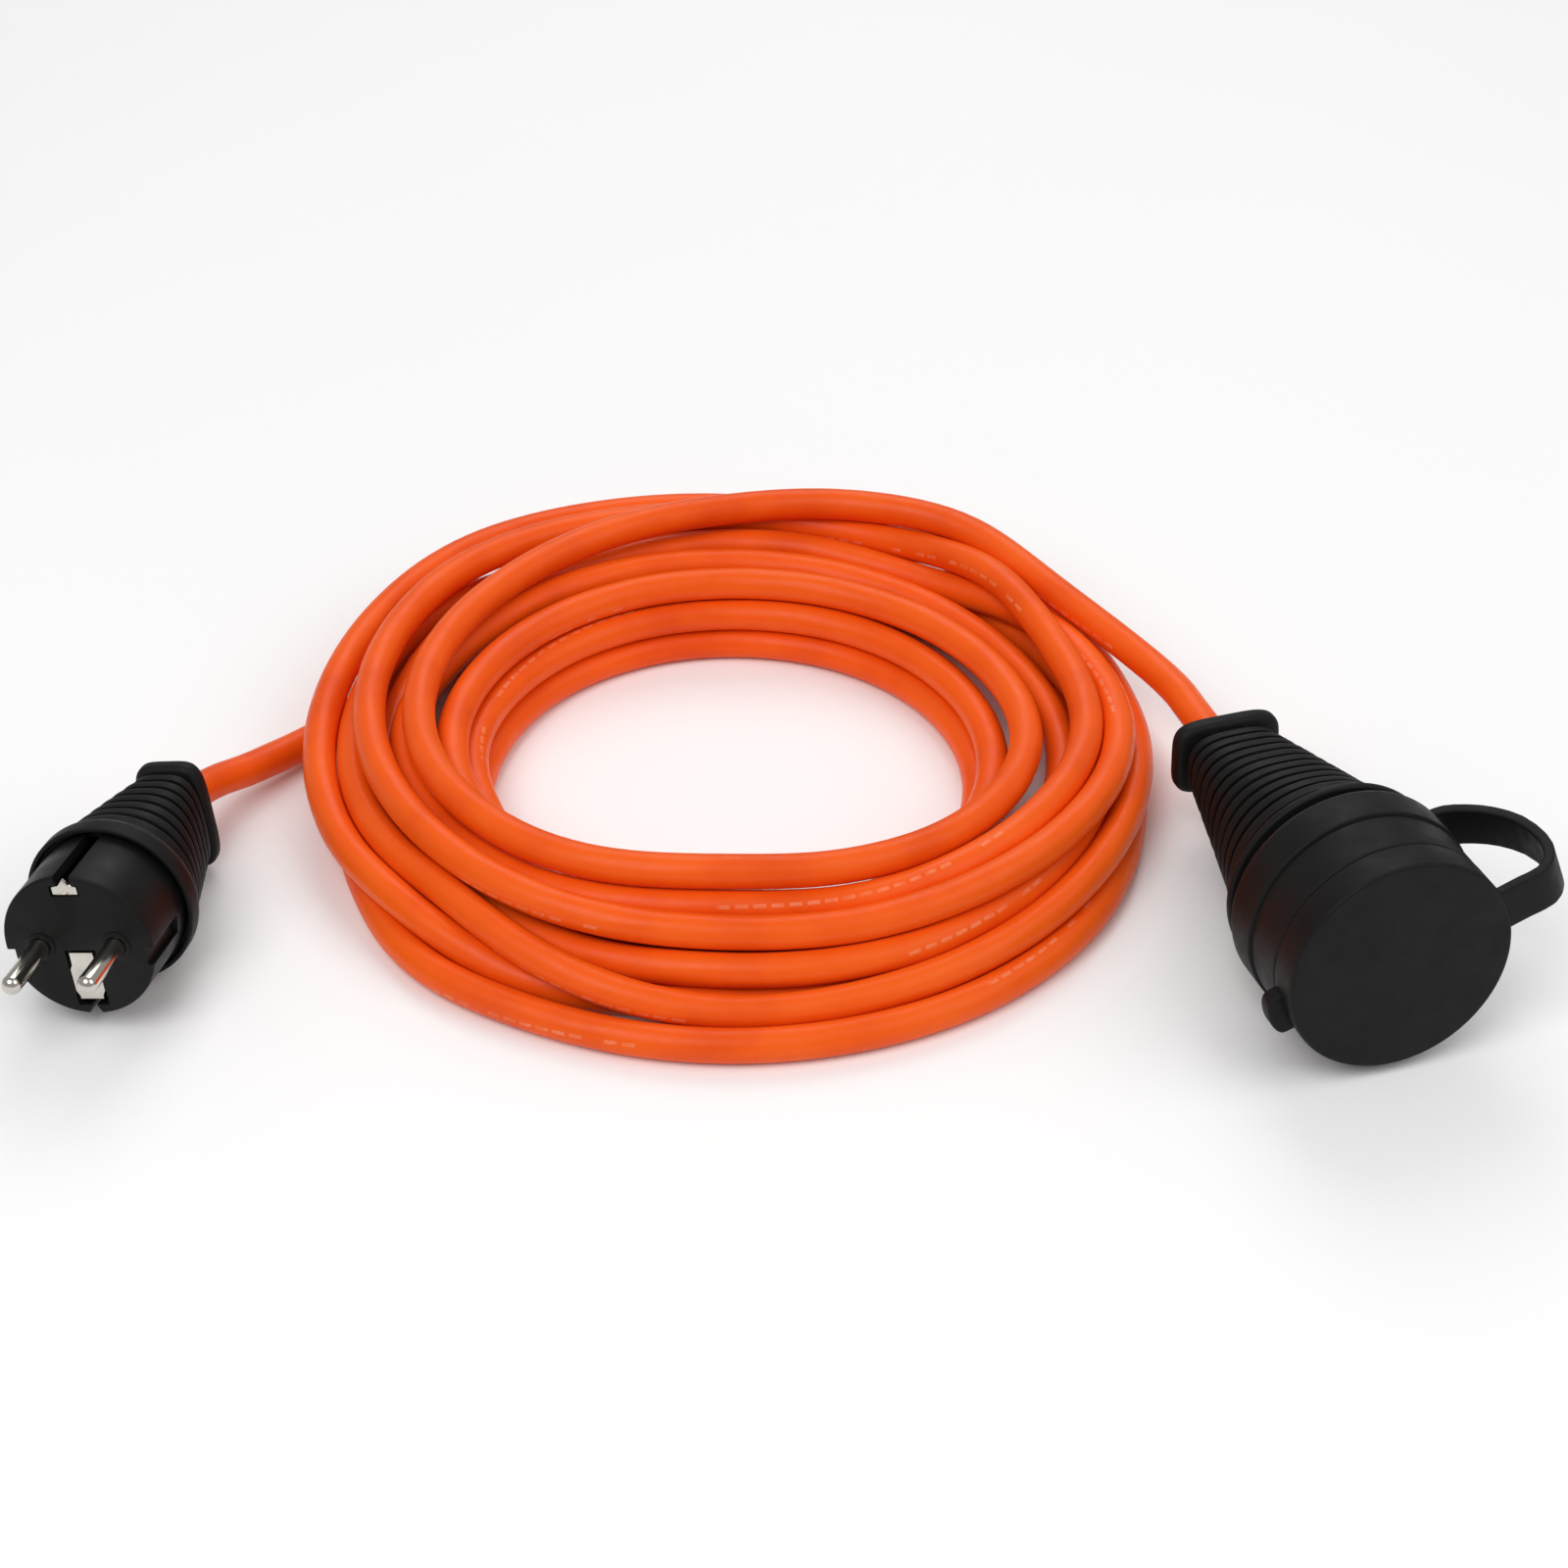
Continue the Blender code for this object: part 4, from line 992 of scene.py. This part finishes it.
plugPieces = [
    plugGrip(plugGripSizes),
    plugInsert(plugInsertSizes),
    plugPin(pinSizes, "plug_live_pin", 1, "plug_pin_live"),
    plugPin(pinSizes, "plug_neutral_pin", -1, "plug_pin_neutral"),
    plugEarthStrip(earthStripSizes),
    plugEarthSleeve(sleeveSizes),
]
print("plug made")


couplerGripSizes = {
    "ribs": 11, "ribStart": -0.0425, "ribEnd": -0.0955, "startHalf": 0.023, "endHalf": (0.011, 0.0078),
    "squareness": 3.2, "plateHalf": (0.0141, 0.01), "plateThick": 0.005, "ribDepth": 0.0016,
    "ribSwell": 0.0007, "sides": 128, "chamberReach": 0.93,
    "front": -0.0088, "ringRadius": 0.0277, "collarRadius": 0.0284, "stepZ": -0.021, "collarRear": -0.0335,
    "grooveRadius": 0.0224, "grooveRear": -0.0385, "seatRadius": 0.023, "seatRear": -0.0304,
    "rounds": (0, 0.0002, 0.0008, 0.0002, 0, 0.0004, 0.003, 0.0016, 0.0003, 0.0003, 0.0007, 0.0007, 0, 0),
    "bore": 0.00455, "boreFront": -0.082,
    "chamber": (                # half widths, squareness and z
        (0.0055, 0.0055, 4.0, -0.0815), (0.0058, 0.0127, 4.0, -0.0503),
        (0.0058, 0.0153, 4.0, -0.0468), (0.0058, 0.0153, 4.0, -0.0306),
    ),
}


def couplerGrip(sizes):
    s = sizes
    ring, collar, shoulder = s["ringRadius"], s["collarRadius"], s["startHalf"] + 0.0006
    outline = [
        (s["seatRadius"], s["seatRear"]), (s["seatRadius"], s["front"]), (ring, s["front"]),
        # a fine line between the front ring and the collar
        (ring, s["stepZ"] + 0.0003), (ring - 0.0004, s["stepZ"]), (collar, s["stepZ"] - 0.0004),
        (collar, s["collarRear"] + 0.002), (collar - 0.0022, s["collarRear"]),
        # the groove that holds the strap's ring
        (s["grooveRadius"], s["collarRear"] - 0.0002), (s["grooveRadius"], s["grooveRear"]),
        (shoulder, s["grooveRear"] - 0.0002), (shoulder, s["ribStart"] + 0.001),
        (s["startHalf"] - 0.0006, s["ribStart"] + 0.0007), (s["startHalf"] - 0.0005, s["ribStart"] + 0.0002),
    ]
    frontRings = [circle(r, z, s["sides"]) for r, z in rounded(outline, s["rounds"], 5)]
    piece = gripShell("coupler_rubber_grip", frontRings, chamberRings(s), s)
    putDown(piece, couplerAt, "root", ("socket_grip",), 30.0)


couplerInsertSizes = {
    "front": -0.0091, "floor": -0.0263, "rear": -0.0288, "outer": 0.0227, "recess": 0.0195,
    "boss": 0.0052, "bossLength": 0.017, "pocket": 0.0037,
    "pinHole": 0.0028, "funnel": 0.0009, "pinY": 0.0095,
    "slotHalf": 0.0028, "slotInner": 0.0177, "slotOuter": 0.0199,
}


def couplerInsert(sizes):
    s = sizes
    outline = [
        (0.0, s["rear"]), (s["outer"], s["rear"]), (s["outer"], s["front"]),
        (s["recess"], s["front"]), (s["recess"], s["floor"]), (0.0, s["floor"]),
    ]
    outline = rounded(outline, (0, 0.0004, 0.0003, 0.0006, 0.0004, 0), 4)
    piece = lathe("coupler_carrier", outline, blackCarrier, 128)
    past, bossRear = 0.001, s["rear"] - s["bossLength"]
    bosses, cuts = [], []
    for side in (1, -1):
        centre = (0.0, side * s["pinY"])
        bosses.append(rod("boss", s["boss"], bossRear, s["rear"] + past, blackCarrier, centre))
        hole, wide, floor = s["pinHole"], s["pinHole"] + s["funnel"], s["floor"]
        mouth = [
            (0.0, s["rear"] - past), (hole, s["rear"] - past), (hole, floor - 0.0008),
            (wide, floor + 0.0001), (wide, floor + past), (0.0, floor + past),
        ]
        cuts.append(lathe("mouth", mouth, blackCarrier, 48, centre))
        cuts.append(rod("pocket", s["pocket"], bossRear - past, s["rear"] + 0.0003, blackCarrier, centre))
        near, far = sorted((side * s["slotInner"], side * s["slotOuter"]))
        low, high = (near, -s["slotHalf"], s["rear"] - past), (far, s["slotHalf"], s["front"] - 0.0025)
        cuts.append(box("slot", low, high, blackCarrier))
    combine(piece, bosses, "UNION")
    combine(piece, cuts, "DIFFERENCE")
    softenEdges(piece, 0.00015)
    putDown(piece, couplerAt, "root", ("socket_insert",), 30.0)


contactSizes = {
    "front": -0.0288, "rear": -0.0438, "outer": 0.0034, "bore": 0.0025, "base": 0.003, "y": 0.0095,
    "chamfer": 0.0004, "funnel": (0.0005, 0.001),
    "slotRear": 0.005, "slotHalves": (0.0004, 0.00038), "slotReach": 0.006,
}


def couplerContact(sizes, name, side, replaced):
    # A round brass socket, slit crosswise into four springs
    s, y = sizes, side * sizes["y"]
    front, rear, outer, bore, chamfer = (s[word] for word in ("front", "rear", "outer", "bore", "chamfer"))
    funnel, floor = s["funnel"], rear + s["base"]
    outline = [
        (0.0, rear), (outer - chamfer, rear), (outer, rear + chamfer), (outer, front),
        (bore + funnel[0], front), (bore, front - funnel[1]), (bore, floor), (0.0, floor),
    ]
    piece = lathe(name, outline, springBrass, 48, (0.0, y))
    low, high, reach = rear + s["slotRear"], front + 0.001, s["slotReach"]
    slots = []
    for x, w in ((s["slotHalves"][0], reach), (reach, s["slotHalves"][1])):
        slots.append(box("slot", (-x, y - w, low), (x, y + w, high), springBrass))
    combine(piece, slots, "DIFFERENCE")
    softenEdges(piece, 0.0001, 1)
    putDown(piece, couplerAt, "root", (replaced,), 30.0)


earthSpringSizes = {
    "outer": 0.0196, "half": 0.0025, "thick": 0.0008, "floor": -0.0263, "front": -0.0134, "rear": -0.0299,
    "bow": 0.0007, "sink": 0.0001,
}


def couplerEarthSprings(sizes):
    # Two springs with an inward bow, joined behind the recess's floor
    outer, half, t, sink = (sizes[word] for word in ("outer", "half", "thick", "sink"))
    floor, front, rear = (sizes[word] for word in ("floor", "front", "rear"))
    yokeLow, yokeHigh = (-outer + sink, -half + sink, rear), (outer - sink, half - sink, rear + t)
    piece = box("coupler_earth_springs", yokeLow, yokeHigh, nickelPlate)
    springs = []
    for side in (1, -1):
        rings = []
        for step in range(17):
            z = mixed(rear + sink, front, step / 16)
            share = min(max((z - floor) / (front - floor), 0.0), 1.0)
            bow = sizes["bow"] * math.sin(math.pi * share) ** 2
            x0, x1 = side * (outer - t - bow), side * (outer - bow)
            rings.append([(x0, -half, z), (x1, -half, z), (x1, half, z), (x0, half, z)])
        springs.append(skin("spring", rings, nickelPlate))
    combine(piece, springs, "UNION")
    softenEdges(piece, 0.0001)
    putDown(piece, couplerAt, "root", ("socket_earth_bracket",), 30.0)


couplerGrip(couplerGripSizes)
couplerInsert(couplerInsertSizes)
couplerContact(contactSizes, "coupler_live_contact", 1, "socket_contact_live")
couplerContact(contactSizes, "coupler_neutral_contact", -1, "socket_contact_neutral")
couplerEarthSprings(earthSpringSizes)
print("coupler made")


capSizes = {
    "radius": 0.0278, "height": 0.0085, "disc": 0.0032, "rim": 0.003,
    "sealOuter": 0.0192, "sealInner": 0.0168, "sealRear": -0.0128,
    "rounds": (0, 0.0003, 0.0006, 0.0006, 0.0003, 0.0003, 0.0003, 0.0005, 0.001, 0),
    "tabHalf": 0.0055, "tabReach": 0.0042, "tabHeight": 0.0042, "tabRound": 0.0006,
}
strapSizes = {
    "angle": math.radians(20.0), "rootOut": 0.00425, "half": 0.0055, "thick": 0.0027, "corner": 0.0006,
    "bow": 0.016,               # how far the strap's loop stands off the cap's rim
    "ringInner": 0.0227, "ringThick": 0.0016, "ringRim": 0.0266, "rimThick": 0.0022,
    "ringFront": -0.0342, "ringRear": -0.0382, "ringRounds": (0.0002, 0.0009, 0.0008, 0.0004, 0.0004, 0.0002),
}


def turnedTo(angle, points):
    # Places given as (distance from the axis, offset sideways, z), at this angle round the axis
    c, s = math.cos(angle), math.sin(angle)
    return [(r * c - w * s, r * s + w * c, z) for r, w, z in points]


def couplerCap(sizes):
    s = sizes
    wall = s["radius"] - s["rim"]
    outline = [
        (0.0, -s["disc"]), (s["sealInner"], -s["disc"]), (s["sealInner"], s["sealRear"]),
        (s["sealOuter"], s["sealRear"]), (s["sealOuter"], -s["disc"]), (wall, -s["disc"]),
        (wall, -s["height"]), (s["radius"], -s["height"]), (s["radius"], 0.0), (0.0, 0.0),
    ]
    piece = lathe("coupler_cap", rounded(outline, s["rounds"], 5), blackRubber, 128)
    # the thumb tab, opposite the strap, starts inside the cap's rim
    reach, half = s["tabReach"], s["tabHalf"]
    start, straight = s["radius"] - s["rim"] * 0.6, s["radius"] + reach * 0.3
    flat = [(start, -half), (straight, -half)]
    for step in range(13):
        a = math.radians(-90 + 180 * step / 12)
        flat.append((straight + reach * 0.7 * math.cos(a) ** 0.8, half * math.sin(a)))
    flat.append((start, half))
    far = strapSizes["angle"] + math.pi
    heights = (-s["height"], -s["height"] + s["tabHeight"])
    tab = skin("tab", [turnedTo(far, [(a, b, z) for a, b in flat]) for z in heights], blackRubber)
    softenEdges(tab, s["tabRound"], 3, 50.0)
    combine(piece, [tab], "UNION")
    putDown(piece, couplerAt, "cap", ("socket_cap",), 30.0)


def strapRoute(sizes):
    # (distance from the axis, z), from the ring out, round and back in to the cap's rim
    groove, leg = -0.036, -sizes["thick"] / 2 - 0.0006
    root = sizes["ringInner"] + sizes["rootOut"]
    rim = capSizes["radius"]
    reach = rim + sizes["bow"]
    return [
        (root, groove), (root + 0.0036, groove + 0.0008), (root + 0.008, groove + 0.0042),
        (mixed(root, reach, 0.72), groove + 0.009), (mixed(root, reach, 0.93), groove + 0.016),
        (reach, mixed(groove, leg, 0.72)), (reach - 0.0014, mixed(groove, leg, 0.9)),
        (reach - 0.0052, leg), (rim + 0.005, leg), (rim + 0.0003, leg),
    ]


def capStrap(sizes):
    route = np.array([(r, 0.0, z) for r, z in strapRoute(sizes)])
    line = smoothLine(route, 0.0009)
    along = np.gradient(line, axis=0)
    along /= np.linalg.norm(along, axis=1)[:, None]
    along[-1] = (-1.0, 0.0, 0.0)
    # a flat section with soft edges
    half, thin, corner = sizes["half"], sizes["thick"] / 2, sizes["corner"]
    flat = rounded([(-thin, half), (thin, half), (thin, -half), (-thin, -half)], corner, 3, closed=True)
    rings = []
    for i, (point, way) in enumerate(zip(line, along)):
        out = (-way[2], way[0])
        places = [(point[0] + out[0] * t, w, point[2] + out[1] * t) for t, w in flat]
        # its two ends follow the ring's rim and the cap's rim
        if i == 0:
            places = [(math.sqrt((r - 0.0014) ** 2 - w * w), w, z) for r, w, z in places]
        if i == len(line) - 1:
            places = [(math.sqrt((capSizes["radius"] - 0.0005) ** 2 - w * w), w, z) for r, w, z in places]
        rings.append(turnedTo(sizes["angle"], places))
    piece = skin("cap_tether", rings, blackRubber, sharpAngle=50.0)
    piece.data.transform(couplerAt)
    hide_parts("cap_strap")
    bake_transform(piece)


def strapRing(sizes):
    inner, outer = sizes["ringInner"], sizes["ringInner"] + sizes["ringThick"]
    rim, rear, front = sizes["ringRim"], sizes["ringRear"], sizes["ringFront"]
    step = rear + sizes["rimThick"]
    corners = [
        (inner, rear), (rim, rear), (rim, step), (outer, step + 0.0002), (outer, front), (inner, front),
    ]
    outline = rounded(corners, sizes["ringRounds"], 4, closed=True)
    piece = lathe("tether_ring", outline, blackRubber, 128, loop=True)
    putDown(piece, couplerAt, "root", ("strap_ring",), 40.0)


couplerCap(capSizes)
capStrap(strapSizes)
strapRing(strapSizes)
print("cap made")


floorSizes = {"half": 4.0, "colour": (0.96, 0.96, 0.96)}
lightSetup = {
    "sky": 0.4,
    "aim": (0.0, 0.03, 0.02),
    "lamps": [                  # name, stand, size and power
        ("key", (-0.55, -0.75, 1.35), 1.1, 12.0),
        ("fill", (0.95, -0.35, 1.05), 1.2, 5.5),
        ("back", (0.05, 1.1, 1.15), 1.0, 6.0),
    ],
}


def layFloor(sizes):
    h = sizes["half"]
    mesh = bpy.data.meshes.new("floor")
    mesh.from_pydata([(-h, -h, 0), (h, -h, 0), (h, h, 0), (-h, h, 0)], [], [(0, 1, 2, 3)])
    finish = Finish("pale_floor", 0.75)
    pale = sizes["colour"]
    finish.colour(finish.ramp(finish.noise(3.0, 2.0), [(0.3, tuple(v * 0.985 for v in pale)), (0.7, pale)]))
    floor = meshObject("floor", mesh, finish.material)


def hangLights(setup):
    world = bpy.data.worlds.new("studio")
    world.use_nodes = True
    sky = world.node_tree.nodes["Background"]
    sky.inputs["Color"].default_value = (1.0, 1.0, 1.0, 1.0)
    sky.inputs["Strength"].default_value = setup["sky"]
    bpy.context.scene.world = world
    for name, stand, size, power in setup["lamps"]:
        data = bpy.data.lights.new(name, "AREA")
        data.shape = "DISK"
        data.size = size
        data.energy = power
        addObject(name, data, stand, setup["aim"])


layFloor(floorSizes)
hangLights(lightSetup)
bpy.context.scene.view_settings.view_transform = "Standard"
print("floor and light set")
